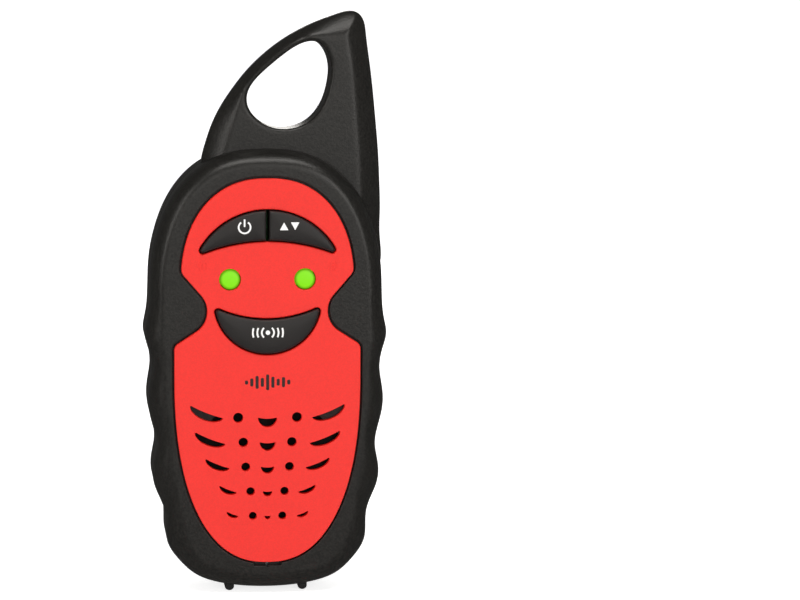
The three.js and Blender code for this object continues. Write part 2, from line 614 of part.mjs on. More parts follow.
function frontShell() {
  const outer = caseHalf(0, seam, finFront);
  const hollow = prism(grown(outline, -CASE_WALL), floorBack, seam + 1);
  const shell = cut(outer, [hollow, finHollow(finFront + FIN_WALL, seam + 1)]);
  const pillars = Object.values(bosses).map((at) => rod(FRONT_BOSS_RADIUS, floorBack - 0.5, seam, at.x, at.y, 12));
  const standoffs = Object.values(boardScrews).map((at) => rod(2.4, floorBack - 0.5, boardFront - FIT, at.x, at.y, 10));
  const ribRadius = SPEAKER_RADIUS + FIT;
  const rib = turned([[ribRadius, floorBack - 0.5], [ribRadius + SPEAKER_RIB, floorBack - 0.5],
    [ribRadius + SPEAKER_RIB, floorBack + 3.8], [ribRadius, floorBack + 3.8], [ribRadius, floorBack - 0.5]],
  0, speakerZ, 28);
  const footBlocks = [-FOOT_X, FOOT_X].map((x) =>
    box([x - 2.2, x + 2.2], [floorBack - 0.5, seam], [bodyBottom + 2.5, FOOT_TOP + FIT + 1.2]));
  const pilots = Object.values(bosses).map((at) =>
    rod(SCREW_RADIUS + FIT, headSeat - SCREW_LENGTH - FIT, seam + 1, at.x, at.y, 8));
  const boardPilots = Object.values(boardScrews).map((at) =>
    rod(SCREW_RADIUS + FIT, boardBack - 6 - FIT, boardFront + 1, at.x, at.y, 8));
  const lampHoles = [-LAMP_X, LAMP_X].map((x) =>
    rod(LAMP_RADIUS + LAMP_COLLAR + FIT, 0, floorBack + 1, x, waist + LAMP_LEVEL, 20));
  const notch = box([-NOTCH_HALF_WIDTH, NOTCH_HALF_WIDTH], [-1, floorFront],
    [plateBottom - PLATE_GAP - NOTCH_REACH, plateBottom + 1]);
  const inside = union([...pillars, ...standoffs, rib, ...footBlocks]).intersect(outer);
  return cut(shell.add(inside), [
    loopCut(),
    prism(recess, -1, floorFront),
    notch,
    rod(MIC_HOLE_RADIUS, 0, floorBack + 1, 0, micZ, 10),
    prism(crescent(UPPER_OPENING, 0), 0, floorBack + 1),
    prism(crescent(LOWER_OPENING, 0), 0, floorBack + 1),
    rod(SPEAKER_RADIUS - SPEAKER_RIM, 0, floorBack + 1, 0, speakerZ, 28),
    ...lampHoles,
    ...pilots,
    ...boardPilots,
    ...[-FOOT_X, FOOT_X].map((x) => footSlot(x, FRONT_FOOT)),
  ]);
}

function facePlate() {
  const holes = GRILLE_ROWS.flatMap((row, i) => {
    const z = waist + GRILLE_LEVEL - i * GRILLE_PITCH;
    const [through, front] = [plateBack + 1, plateFront - 1];
    return [
      prism(slot(0, z, row.smile, 0), front, through),
      ...[-1, 1].flatMap((side) => [
        rod(row.dotRadius, front, through, side * row.dotX, z, 8),
        prism(slot(side * row.wingX, z + row.wingRise, row.wing, side * WING_SLOPE), front, through),
      ]),
    ];
  });
  const lamps = [-LAMP_X, LAMP_X].map((x) =>
    rod(LAMP_RADIUS + LAMP_CLEARANCE, plateFront - 1, plateBack + 1, x, waist + LAMP_LEVEL));
  return cut(prism(plate, plateFront, plateBack), [
    ...holes,
    ...lamps,
    prism(crescent(UPPER_OPENING, 0), plateFront - 1, plateBack + 1),
    prism(crescent(LOWER_OPENING, 0), plateFront - 1, plateBack + 1),
  ]);
}

function rearShell() {
  const outer = caseHalf(backFace, rearSeam, finBack);
  const shell = cut(outer, [
    prism(grown(outline, -CASE_WALL), rearSeam - 1, backFace - CASE_WALL - EDGE_DEPTH * 0.5),
    prism(grown(flatOutline, -CASE_WALL * 0.3), rearSeam - 1, backFace - CASE_WALL),
    finHollow(rearSeam - 1, finBack - FIN_WALL),
  ]);
  const pillars = Object.values(bosses).map((at) => rod(rearBossRadius, rearSeam, backFace - 0.5, at.x, at.y, 14));
  const bay = box([-bayHalfWidth - BAY_WALL, bayHalfWidth + BAY_WALL], [bayFront, ledgeBack],
    [bayBottom - BAY_WALL, bayTop + BAY_WALL]);
  const ledge = prism(coverOutline(1.8), ledgeBack - COVER_LEDGE, backFace);
  const screwBoss = box([-4, 4], [ledgeBack - 6, ledgeBack], [tongueBottom, coverBottom + 0.5]);
  const lugs = [-1, 1].map((side) => {
    const x = [lugInner, lugInner + LUG_THICKNESS].map((v) => side * v).sort((a, b) => a - b);
    const web = box(x, [backFace - 1, pinDepth], [pinZ - CLIP_LUG_RADIUS, pinZ + CLIP_LUG_RADIUS]);
    return union([bar(CLIP_LUG_RADIUS, x, pinDepth, pinZ), web]);
  });
  const footBlocks = [-FOOT_X, FOOT_X].map((x) =>
    box([x - 2.2, x + 2.2], [rearSeam, backFace - 3], [bodyBottom + 2.5, FOOT_TOP + FIT + 1.2]));
  const inside = union([...pillars, bay, ledge, screwBoss, ...footBlocks]).intersect(outer);
  const counterbores = Object.values(bosses).flatMap((at) => [
    rod(SCREW_HEAD_RADIUS + FIT, headSeat, backFace + 1, at.x, at.y, 14),
    rod(SCREW_RADIUS + FIT, rearSeam - 1, headSeat + 1, at.x, at.y, 8),
  ]);
  return cut(union([shell, inside, ...lugs]), [
    loopCut(),
    box([-bayHalfWidth, bayHalfWidth], [bayFront + BAY_WALL, backFace + 1], [bayBottom, bayTop]),
    prism(coverOutline(FIT), ledgeBack, backFace + 1),
    rod(SCREW_RADIUS + FIT, coverScrewTip - FIT, ledgeBack + 1, coverScrew.x, coverScrew.y, 12),
    bar(CLIP_PIN_RADIUS + 0.05, [-lugInner - LUG_THICKNESS - 1, lugInner + LUG_THICKNESS + 1], pinDepth, pinZ),
    ...counterbores,
    ...[-FOOT_X, FOOT_X].map((x) => footSlot(x, rearFoot)),
  ]);
}

const rearFoot = [rearSeam + 1, rearSeam + 1 + REAR_FOOT_LENGTH];

function foot(name, x, depths) {
  const [half, corner] = [FOOT_WIDTH / 2, 0.6];
  const section = new THREE.Shape([
    point(-half, FOOT_TOP), point(-half, corner * 1.4), point(-half + corner * 0.4, corner * 0.4),
    point(-half + corner, 0), point(half - corner, 0), point(half - corner * 0.4, corner * 0.4),
    point(half, corner * 1.4), point(half, FOOT_TOP),
  ]);
  const geometry = new THREE.ExtrudeGeometry(section, { depth: depths[1] - depths[0], bevelEnabled: false });
  geometry.rotateX(Math.PI / 2);
  const mesh = meshOf(name, solidOf(geometry), materials.rubber);
  mesh.position.set(x, yAt(depths[1]), 0);
  return mesh;
}

// ---------------------------------------------------------------- battery cover and its screw

const coverScrewTip = ledgeBack - 5;
const coverHeadSeat = coverFront + 0.2;

function batteryCover() {
  const ribs = [-1, 0, 1].map((i) =>
    box([-5, 5], [backFace - 0.05, backFace + 0.35], [coverTop - 6 + i * 1.8 - 0.4, coverTop - 6 + i * 1.8 + 0.4]));
  return cut(union([prism(coverOutline(0), coverFront, backFace), ...ribs]), [
    rod(SCREW_RADIUS + FIT, coverFront - 1, backFace + 1, coverScrew.x, coverScrew.y, 14),
    rod(SCREW_HEAD_RADIUS + FIT, coverHeadSeat, backFace + 1, coverScrew.x, coverScrew.y, 20),
  ]);
}

// ---------------------------------------------------------------- belt clip

const pinZ = bodyTop - CLIP_PIN_DROP;
const knuckleOuter = CLIP_WIDTH / 2 - LUG_THICKNESS - 2 * FIT - 1.2;
const lugInner = knuckleOuter + FIT;

function beltClip() {
  const half = CLIP_WIDTH / 2;
  const [top, bottom] = [pinZ + CLIP_LEVER, pinZ - CLIP_DROP];
  const face = mirrored([
    point(0, top),
    ...arc(half - 3, top - 3, 3, Math.PI / 2, 0, 4),
    ...arc(half - 5, bottom + 5, 5, 0, -Math.PI / 2, 5),
    point(0, bottom),
  ]);
  const knuckles = [-1, 1].flatMap((side) => {
    const x = [knuckleOuter - KNUCKLE_THICKNESS, knuckleOuter].map((v) => side * v).sort((a, b) => a - b);
    return [
      bar(CLIP_KNUCKLE_RADIUS, x, pinDepth, pinZ),
      box(x, [pinDepth, clipFront + 0.5], [pinZ - CLIP_KNUCKLE_RADIUS, pinZ + CLIP_KNUCKLE_RADIUS]),
    ];
  });
  const hook = box([-half + 3.5, half - 3.5], [clipFront - CLIP_HOOK, clipFront + 0.5], [bottom + 1.2, bottom + 3.4]);
  return cut(union([prism(face, clipFront, clipBack), ...knuckles, hook]), [
    bar(CLIP_PIN_RADIUS + 0.05, [-half, half], pinDepth, pinZ),
  ]);
}

function clipSpring() {
  const room = knuckleOuter - KNUCKLE_THICKNESS - FIT;
  const radius = CLIP_PIN_RADIUS + FIT / 2 + CLIP_SPRING_WIRE;
  const coil = new Helix(() => radius, 2 * (room - CLIP_SPRING_WIRE), CLIP_SPRING_TURNS);
  const mesh = meshOf("clip_spring", wireAlong(coil, CLIP_SPRING_WIRE, 8 * CLIP_SPRING_TURNS), materials.steel);
  mesh.rotation.y = Math.PI / 2;
  mesh.position.set(CLIP_SPRING_WIRE - room, yAt(pinDepth), pinZ);
  return mesh;
}

// ---------------------------------------------------------------- keys and switches

function key(opening, switches, side) {
  const body = union([
    prism(crescent(opening, -KEY_CLEARANCE), keyFront, flangeBack - 0.2),
    prism(crescent(opening, KEY_FLANGE), flangeFront, flangeBack),
    ...switches.map((at) => rod(KEY_POST_RADIUS, flangeFront, postEnd, at.x, at.y, 14)),
  ]);
  if (!side) return body;
  const [from, to] = [keyFront - 1, postEnd + 1];
  const reach = halfWidth;
  const keep = side > 0 ? [KEY_SPLIT / 2, reach] : [-reach, -KEY_SPLIT / 2];
  return body.intersect(box(keep, [from, to], [0, bodyTop]));
}

const switchPlaces = {
  power: point(-UPPER_SWITCH_X, waist + UPPER_SWITCH_LEVEL),
  channel: point(UPPER_SWITCH_X, waist + UPPER_SWITCH_LEVEL),
  talk: point(0, waist + LOWER_SWITCH_LEVEL),
};

function switchBody(name, at) {
  const half = SWITCH_SIZE / 2;
  const well = rod(SWITCH_PLUNGER_RADIUS + FIT, switchFront - 1, switchFront + KEY_TRAVEL_ROOM + FIT + 0.8, 0, 0, 14);
  const body = box([-half, half], [switchFront, switchBack], [-half, half]);
  const mesh = meshOf(name, cut(body, [well]), materials.switch);
  mesh.position.set(at.x, 0, at.y);
  return mesh;
}

function switchPlunger(name, at) {
  const solid = rod(SWITCH_PLUNGER_RADIUS, plungerFront, switchFront + 0.8, 0, 0, 14);
  const mesh = meshOf(name, solid, materials.rubber);
  mesh.position.set(at.x, 0, at.y);
  return mesh;
}

// ---------------------------------------------------------------- lamps, board and sound

function lamp(name, x) {
  const front = plateFront + LAMP_RECESS;
  const dome = [0, 0.5, 0.8, 1].map((t) => [LAMP_RADIUS * t, front + 1.6 * (1 - Math.sqrt(1 - t * t))]);
  const collar = LAMP_RADIUS + LAMP_COLLAR;
  const solid = turned([...dome, [LAMP_RADIUS, boardFront - FIT - 1.6], [collar, boardFront - FIT - 1.6],
    [collar, boardFront - FIT], [0, boardFront - FIT]], 0, 0, 14);
  const mesh = meshOf(name, solid, materials.lamp);
  mesh.position.set(x, 0, waist + LAMP_LEVEL);
  return mesh;
}

function mainBoard() {
  const face = mirrored([
    point(0, boardTop),
    point(boardHalfWidth - BOARD_CORNER, boardTop),
    point(boardHalfWidth, boardTop - BOARD_CORNER),
    point(boardHalfWidth, boardBottom + 2),
    point(boardHalfWidth - 2, boardBottom),
    point(0, boardBottom),
  ]);
  const holes = Object.values(boardScrews).map((at) =>
    rod(SCREW_RADIUS + FIT, boardFront - 1, boardBack + 1, at.x, at.y, 12));
  return cut(prism(face, boardFront, boardBack), holes);
}

function speakerFrame() {
  const front = flangeFront + CLOTH_THICKNESS + FIT;
  const back = front + SPEAKER_DEPTH - MAGNET_THICKNESS;
  const inner = SPEAKER_RADIUS - SPEAKER_RIM;
  return turned([
    [inner, front], [SPEAKER_RADIUS, front], [SPEAKER_RADIUS, front + SPEAKER_RIM_THICKNESS],
    [inner, front + SPEAKER_RIM_THICKNESS + 0.4], [MAGNET_RADIUS + 1, back], [4, back],
    [4, back - 0.8], [MAGNET_RADIUS + 0.6, back - 0.8], [inner - 1, front + SPEAKER_RIM_THICKNESS], [inner, front],
  ], 0, speakerZ, 24);
}

function speakerCone() {
  const front = flangeFront + CLOTH_THICKNESS + FIT;
  const edge = SPEAKER_RADIUS - SPEAKER_RIM - 1.4;
  return turned([
    [0, front + 1.2], [3, front + 1.5], [4.4, front + 2.4], [edge - 3, front + 0.7], [edge - 1.5, front + 0.2],
    [edge, front + 0.6], [edge, front + 1.0], [edge - 1.5, front + 0.6], [edge - 3, front + 1.1],
    [4.4, front + 2.8], [0, front + 2.8],
  ], 0, speakerZ, 24);
}

// ---------------------------------------------------------------- power

function cell(name, column, up) {
  const nubFrom = CELL_LENGTH - CELL_NUB_LENGTH;
  const bevel = 0.5;
  const profile = [[0, 0], [CELL_RADIUS - bevel, 0], [CELL_RADIUS, bevel], [CELL_RADIUS, nubFrom - bevel],
    [CELL_RADIUS - bevel, nubFrom], [CELL_NUB_RADIUS, nubFrom], [CELL_NUB_RADIUS, CELL_LENGTH], [0, CELL_LENGTH]];
  const geometry = new THREE.LatheGeometry(profile.map(([r, y]) => point(r, y)), 18);
  geometry.rotateX(Math.PI / 2);
  const mesh = meshOf(name, solidOf(geometry), materials.cell);
  mesh.rotation.x = up ? 0 : Math.PI;
  const foot = bayBottom + CONTACT_THICKNESS + 2 * FIT + (up ? SPRING_LENGTH + FIT : FIT);
  mesh.position.set(columnX(column), yAt(cellCentre), up ? foot : foot + CELL_LENGTH);
  return mesh;
}

const columnX = (column) => (column - (CELL_COUNT - 1) / 2) * cellPitch;

// A conical spring that presses on a cell's flat end.
function cellSpring(name, column, up) {
  const base = bayBottom + CONTACT_THICKNESS + 2 * FIT + SPRING_WIRE;
  const tip = bayTop - CONTACT_THICKNESS - 2 * FIT - SPRING_WIRE;
  const coil = new Helix((t) => 3.4 - 1.4 * t, SPRING_LENGTH - 2 * SPRING_WIRE - FIT, SPRING_TURNS);
  const mesh = meshOf(name, wireAlong(coil, SPRING_WIRE, 8 * SPRING_TURNS), materials.steel);
  mesh.rotation.x = up ? 0 : Math.PI;
  mesh.position.set(columnX(column), yAt(cellCentre), up ? base : tip);
  return mesh;
}

// A sheet contact across one or two columns at the bay's lower or upper end.
function contact(columns, atTop) {
  const from = columnX(columns[0]) - CONTACT_WIDTH / 2;
  const to = columnX(columns.at(-1)) + CONTACT_WIDTH / 2;
  const z = atTop ? bayTop - FIT - CONTACT_THICKNESS : bayBottom + FIT;
  return box([from, to], [cellCentre - CONTACT_WIDTH / 2, cellCentre + CONTACT_WIDTH / 2], [z, z + CONTACT_THICKNESS]);
}

function antennaCoil() {
  const [from, to] = COIL_SHARE.map((share) => bodyTop + share * FIN_HEIGHT);
  const solid = wireAlong(new Helix(() => COIL_RADIUS, to - from, COIL_TURNS), COIL_WIRE, 8 * COIL_TURNS);
  const mesh = meshOf("antenna_coil", solid, materials.copper);
  mesh.position.set(coilX, yAt((finFront + finBack) / 2), from);
  return mesh;
}

// Insulated wires, each through points of [x, depth, z], soldered to the board at the last one.
const WIRE_RADIUS = 0.5;
const padDepth = boardFront - FIT - WIRE_RADIUS;
const coilX = COIL_X_SHARE * halfWidth;
const wireBelowBay = bayFront - 2 * FIT - WIRE_RADIUS;
const boardEdge = boardBottom + 2;
const wires = {
  speaker_positive_wire: [
    [-6, speakerBack - 3, speakerZ + 16], [-6, speakerBack - 2.4, speakerZ + 19.5], [-6, padDepth, boardEdge],
  ],
  speaker_negative_wire: [
    [6, speakerBack - 3, speakerZ + 16], [6, speakerBack - 2.4, speakerZ + 19.5], [6, padDepth, boardEdge],
  ],
  battery_positive_wire: [
    [columnX(0), cellCentre, bayTop + BAY_WALL + FIT + WIRE_RADIUS], [columnX(0), cellCentre - 1, bayTop + 4],
    [columnX(0), boardBack + FIT + WIRE_RADIUS, bayTop + 7],
  ],
  battery_negative_wire: [
    [columnX(2), wireBelowBay, bayBottom + 1], [columnX(2) + 2, wireBelowBay, bayBottom + 12],
    [columnX(2) + 3, wireBelowBay, boardBottom - 10], [columnX(2) + 2, padDepth, boardBottom - 2],
    [columnX(2) + 1, padDepth, boardEdge],
  ],
  antenna_wire: [
    [coilX, (finFront + finBack) / 2 - 1, bodyTop + COIL_SHARE[0] * FIN_HEIGHT - 1.6],
    [coilX - 3, padDepth + 0.2, boardScrews.right.y - 1],
    [boardHalfWidth - 1.3, padDepth, boardScrews.right.y - 4.5],
  ],
};
const wireColors = { positive: 0xb3201a, negative: 0x151515, antenna: 0xd9d9d6 };

function wire(name, points) {
  const curve = new THREE.CatmullRomCurve3(points.map(([x, depth, z]) => new THREE.Vector3(x, yAt(depth), z)));
  const kind = Object.keys(wireColors).find((key) => name.includes(key));
  return meshOf(name, wireAlong(curve, WIRE_RADIUS, 4 * (points.length - 1), 6), plastic(wireColors[kind], 0.5));
}

// ---------------------------------------------------------------- assembly

const group = (...children) => {
  const made = new THREE.Group();
  made.add(...children);
  return made;
};

const faceAssembly = group(
  meshOf("front_shell", frontShell(), materials.casing),
  meshOf("face_plate", facePlate(), materials.face),
  foot("front_left_foot", -FOOT_X, FRONT_FOOT),
  foot("front_right_foot", FOOT_X, FRONT_FOOT),
);

const keyAssembly = group(
  meshOf("power_key", key(UPPER_OPENING, [switchPlaces.power], -1), materials.keys),
  meshOf("channel_key", key(UPPER_OPENING, [switchPlaces.channel], 1), materials.keys),
  meshOf("talk_key", key(LOWER_OPENING, [switchPlaces.talk], 0), materials.keys),
);
for (const [name, at] of Object.entries(switchPlaces))
  keyAssembly.add(switchBody(`${name}_switch`, at), switchPlunger(`${name}_switch_plunger`, at));

const clothRadius = SPEAKER_RADIUS - FIT;
const electronics = group(
  meshOf("main_board", mainBoard(), materials.board),
  meshOf("radio_chip", box([-4.5, 4.5], [boardBack + FIT, boardBack + FIT + 1.4],
    [boardScrews.lower.y + 4, boardScrews.lower.y + 11]), materials.chip),
  meshOf("radio_shield", box([-8.4, 8.4], [boardBack + FIT, boardBack + FIT + 2.6],
    [boardScrews.lower.y + 14, boardScrews.lower.y + 26]), materials.steel),
  meshOf("microphone", rod(MIC_RADIUS, flangeFront, flangeFront + MIC_THICKNESS, 0, micZ, 20), materials.steel),
  lamp("left_lamp", -LAMP_X),
  lamp("right_lamp", LAMP_X),
  meshOf("speaker_cloth", rod(clothRadius, flangeFront, flangeFront + CLOTH_THICKNESS, 0, speakerZ, 28),
    materials.cloth),
  meshOf("speaker_frame", speakerFrame(), materials.steel),
  meshOf("speaker_cone", speakerCone(), materials.cone),
  meshOf("speaker_magnet", rod(MAGNET_RADIUS, speakerBack - MAGNET_THICKNESS + FIT, speakerBack, 0, speakerZ, 28),
    materials.steel),
  antennaCoil(),
);
for (const [name, points] of Object.entries(wires)) electronics.add(wire(name, points));
for (const [name, at] of Object.entries(boardScrews))
  electronics.add(screw(`board_${name}_screw`, 6, at, boardBack + FIT));

const rearAssembly = group(
  meshOf("rear_shell", rearShell(), materials.casing),
  foot("rear_left_foot", -FOOT_X, rearFoot),
  foot("rear_right_foot", FOOT_X, rearFoot),
);
for (const [name, at] of Object.entries(bosses))
  rearAssembly.add(screw(`${name}_case_screw`, SCREW_LENGTH, at, headSeat + FIT));

const power = group(
  cell("left_cell", 0, true),
  cell("middle_cell", 1, false),
  cell("right_cell", 2, true),
  cellSpring("left_cell_spring", 0, true),
  cellSpring("middle_cell_spring", 1, false),
  cellSpring("right_cell_spring", 2, true),
  meshOf("lower_contact_bridge", contact([0, 1], false), materials.brass),
  meshOf("lower_contact", contact([2], false), materials.brass),
  meshOf("upper_contact", contact([0], true), materials.brass),
  meshOf("upper_contact_bridge", contact([1, 2], true), materials.brass),
);

const coverAssembly = group(
  meshOf("battery_cover", batteryCover(), materials.casing),
  screw("cover_screw", ledgeBack - coverScrewTip, coverScrew, coverHeadSeat + FIT),
);

const clipAssembly = group(
  meshOf("belt_clip", beltClip(), materials.casing),
  meshOf("clip_pin", bar(CLIP_PIN_RADIUS, [-lugInner - LUG_THICKNESS, lugInner + LUG_THICKNESS], pinDepth, pinZ),
    materials.steel),
  clipSpring(),
);

const walkieTalkie = group(
  faceAssembly, keyAssembly, electronics, rearAssembly, power, coverAssembly, clipAssembly,
);

export default walkieTalkie;
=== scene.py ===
"""A toy walkie talkie, made as an add-on would make it: one operator for each group of pieces."""

import json
import math
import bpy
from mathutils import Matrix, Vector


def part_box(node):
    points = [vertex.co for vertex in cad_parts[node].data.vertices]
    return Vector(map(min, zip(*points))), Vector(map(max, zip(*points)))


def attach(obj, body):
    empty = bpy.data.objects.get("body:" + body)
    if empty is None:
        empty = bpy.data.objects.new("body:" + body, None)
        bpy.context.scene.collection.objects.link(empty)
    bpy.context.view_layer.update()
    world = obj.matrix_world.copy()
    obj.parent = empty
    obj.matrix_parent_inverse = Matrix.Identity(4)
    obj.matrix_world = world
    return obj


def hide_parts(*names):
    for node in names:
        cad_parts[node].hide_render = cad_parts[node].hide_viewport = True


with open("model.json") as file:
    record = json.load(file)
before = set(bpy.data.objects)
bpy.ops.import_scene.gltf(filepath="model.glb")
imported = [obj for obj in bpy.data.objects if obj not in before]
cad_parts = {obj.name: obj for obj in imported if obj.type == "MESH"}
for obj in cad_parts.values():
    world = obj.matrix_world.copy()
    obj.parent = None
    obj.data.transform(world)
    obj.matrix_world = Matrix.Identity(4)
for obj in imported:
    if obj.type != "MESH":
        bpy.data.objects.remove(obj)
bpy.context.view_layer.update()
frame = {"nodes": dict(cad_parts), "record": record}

from types import SimpleNamespace

import bpy
import numpy as np
from mathutils import Vector
from mathutils.geometry import delaunay_2d_cdt

bl_info = {
    "name": "Toy walkie talkie",
    "version": (1, 0, 0),
    "blender": (4, 5, 0),
    "location": "3D View > Sidebar > Handset",
    "description": "Builds a toy walkie talkie round its packed frame",
    "category": "Add Mesh",
}

MM = 0.001

# ---------------------------------------------------------------- shapes as shares of the case

# The finger grips and the bottom, from the widest level down, as shares of half the width and the height.
GRIPS = [
    (0.987, 0.6075), (1, 0.5807), (0.968, 0.5449), (0.945, 0.5047), (0.96, 0.4704), (0.975, 0.4351),
    (0.958, 0.3939), (0.91, 0.3343), (0.922, 0.302), (0.94, 0.2697), (0.922, 0.2335), (0.866, 0.1967),
    (0.836, 0.1649), (0.8325, 0.1276), (0.815, 0.1013), (0.74, 0.0688), (0.607, 0.0338), (0.5, 0.0188),
    (0.36, 0.0086), (0.18, 0.0019), (0, 0),
]  # fmt: skip
# The same side without the grips, for the flat front and back.
SIDES = [
    (0.945, 0.4635), (0.9, 0.3244), (0.845, 0.2051), (0.775, 0.1137), (0.66, 0.052), (0.46, 0.0184),
    (0.22, 0.0042), (0, 0),
]  # fmt: skip
SHOULDER = 0.6408  # where the crown starts
CROWN_WIDTH = 0.968  # its width there, as a share of the case's
WAIST = 0.6393
# The fin and its loop, as shares of half the case's width and of the fin's height above the case.
FIN = [
    (0.95, -0.9), (0.962, -0.65), (0.963, -0.47), (0.958, -0.27), (0.945, -0.03), (0.925, 0.18),
    (0.899, 0.42), (0.869, 0.64), (0.842, 0.82), (0.82, 0.93), (0.777, 0.983), (0.712, 1.0),
    (0.58, 0.972), (0.441, 0.927), (0.24, 0.84), (0.085, 0.75), (-0.04, 0.658), (-0.143, 0.566),
    (-0.262, 0.432), (-0.362, 0.297), (-0.436, 0.162), (-0.488, 0.027), (-0.52, -0.09), (-0.5, -0.3),
    (0.2, -0.85),
]  # fmt: skip
LOOP = [
    (0.27, 0.754), (0.165, 0.695), (0.017, 0.588), (-0.098, 0.485), (-0.14, 0.419), (-0.152, 0.357),
    (-0.13, 0.284), (-0.068, 0.217), (0.017, 0.166), (0.122, 0.142), (0.227, 0.147), (0.333, 0.181),
    (0.42, 0.246), (0.49, 0.347), (0.528, 0.459), (0.542, 0.568), (0.526, 0.66), (0.461, 0.756),
    (0.386, 0.782),
]  # fmt: skip

# ---------------------------------------------------------------- outlines, as arrays of (x, z)


def spline(points, count):
    """A closed smooth curve through points, sampled evenly by length.

    Piecewise cubics in the chord length, whose second derivatives M solve the cyclic system
    h0 M0 + 2 (h0 + h1) M1 + h1 M2 = 6 (slope1 - slope0), so curvature is continuous.
    """
    p = np.asarray(points, float)
    n = len(p)
    h = np.linalg.norm(np.roll(p, -1, 0) - p, axis=1) ** 0.75
    slope = (np.roll(p, -1, 0) - p) / h[:, None]
    before = np.roll(h, 1)
    system = np.diag(2 * (before + h))
    index = np.arange(n)
    system[index, (index + 1) % n] += h
    system[index, (index - 1) % n] += before
    moment = np.linalg.solve(system, 6 * (slope - np.roll(slope, 1, 0)))
    start = np.concatenate([[0], np.cumsum(h)])

    def at(t):
        k = np.clip(np.searchsorted(start, t, side="right") - 1, 0, n - 1)
        a = ((start[k + 1] - t) / h[k])[:, None]
        b = 1 - a
        bend = (a**3 - a) * moment[k] + (b**3 - b) * moment[(k + 1) % n]
        return a * p[k] + b * p[(k + 1) % n] + bend * (h[k] ** 2 / 6)[:, None]

    fine = np.linspace(0, start[-1], 40 * n + 1)
    length = np.concatenate([[0], np.cumsum(np.linalg.norm(np.diff(at(fine), axis=0), axis=1))])
    even = np.interp(np.arange(count) / count * length[-1], length, fine)
    return at(even)


def resampled(outline, count):
    """A closed outline's own polygon, sampled evenly by length."""
    closed = np.vstack([outline, outline[:1]])
    length = np.concatenate([[0], np.cumsum(np.linalg.norm(np.diff(closed, axis=0), axis=1))])
    at = np.arange(count) / count * length[-1]
    return np.stack([np.interp(at, length, closed[:, i]) for i in range(2)], axis=1)


def grown(outline, distance):
    """An anticlockwise outline with each point moved along its normal, outwards where distance > 0."""
    along = np.roll(outline, -1, 0) - np.roll(outline, 1, 0)
    along /= np.linalg.norm(along, axis=1)[:, None]
    return outline + distance * np.stack([along[:, 1], -along[:, 0]], axis=1)


def mirrored(half):
    """A right half from top to bottom, made a whole anticlockwise outline."""
    half = np.asarray(half, float)
    left = half[half[:, 0] > 1e-9] * (-1, 1)
    return np.vstack([half[::-1], left])


def arc(x, z, radius, start, end, count):
    """Points on a circle from one angle to another, both ends included."""
    angle = np.linspace(start, end, count)
    return np.stack([x + radius * np.cos(angle), z + radius * np.sin(angle)], axis=1)


def circle(x, z, radius, count=48):
    return arc(x, z, radius, 0, 2 * math.pi * (1 - 1 / count), count)


def circle_at(node, radius, count=48):
    """A circle round a node's middle."""
    centre = box_centre(node)
    return circle(centre.x, centre.z, radius, count)


def rectangle(x0, x1, z0, z1, radius=0.3 * MM, count=5):
    """A rectangle with round corners, anticlockwise."""
    quarter = math.pi / 2
    left, right, low, high = x0 + radius, x1 - radius, z0 + radius, z1 - radius
    centres = [(right, high), (left, high), (left, low), (right, low)]
    return np.vstack([arc(*centre, radius, k * quarter, (k + 1) * quarter, count) for k, centre in enumerate(centres)])


def superellipse(a, level, b, exponent, count, taper=0.0):
    """x = a (1 - taper c) sin^(2/n) t, z = level + b c, with c = cos^(2/n) t, from the top down."""
    t = np.linspace(0, math.pi / 2, count)
    rise = np.abs(np.cos(t)) ** (2 / exponent)
    quarter = np.stack([a * (1 - taper * rise) * np.sin(t) ** (2 / exponent), level + b * rise], axis=1)
    return quarter if b > 0 else quarter[::-1]


def case_outline(size, lower, count):
    """The case's outline: a superellipse above the shoulder and a smooth curve through `lower` below it."""
    half = size.case_width / 2
    level = size.case_bottom + SHOULDER * size.case_height
    upper = superellipse(CROWN_WIDTH * half, level, size.case_top - level, 2.45, 9)
    below = np.array(lower) * (half, size.case_height) + (0, size.case_bottom)
    return spline(mirrored(np.vstack([upper, below])), count)


def facing(source, target, size):
    """For each point of target, the point of source at the same angle about the case's middle."""
    centre = np.array([0, size.case_bottom + size.case_height / 2])
    squash = size.case_width / size.case_height

    def angle(outline):
        return np.arctan2((outline[:, 1] - centre[1]) * squash, outline[:, 0] - centre[0])

    order = np.argsort(angle(source))
    known, wanted = angle(source)[order], angle(target)
    return np.stack([np.interp(wanted, known, source[order, i], period=2 * math.pi) for i in range(2)], axis=1)


def touch(point, centre, radius, turn):
    """Where a line from point touches a circle, on the side that turn says."""
    offset = np.subtract(point, centre)
    angle = math.atan2(offset[1], offset[0]) + turn * math.acos(radius / np.hypot(*offset))
    return np.add(centre, (radius * math.cos(angle), radius * math.sin(angle)))


def bent(before, corner, after, reach):
    """A corner between two lines as a quadratic curve that leaves them `reach` from it."""
    corner = np.asarray(corner)
    ends = [corner + (np.asarray(p) - corner) * reach / np.linalg.norm(np.asarray(p) - corner) for p in (before, after)]
    t = np.linspace(0, 1, 7)[:, None]
    return (1 - t) ** 2 * ends[0] + 2 * t * (1 - t) * corner + t**2 * ends[1]


# The face plate's side, as distances in from the case's and up or down from the waist.
UPPER_BEZEL = 8.7 * MM
LOWER_BEZEL = 7.0 * MM
WAIST_BEZEL = 15.1 * MM
WAIST_RADIUS = 6.0 * MM
UPPER_CORNER = 9.6 * MM
LOWER_CORNER = 8.5 * MM
LOWER_LOBE = 16.0 * MM
LOBE_EXPONENT = 2.35
UPPER_TAPER = 0.085


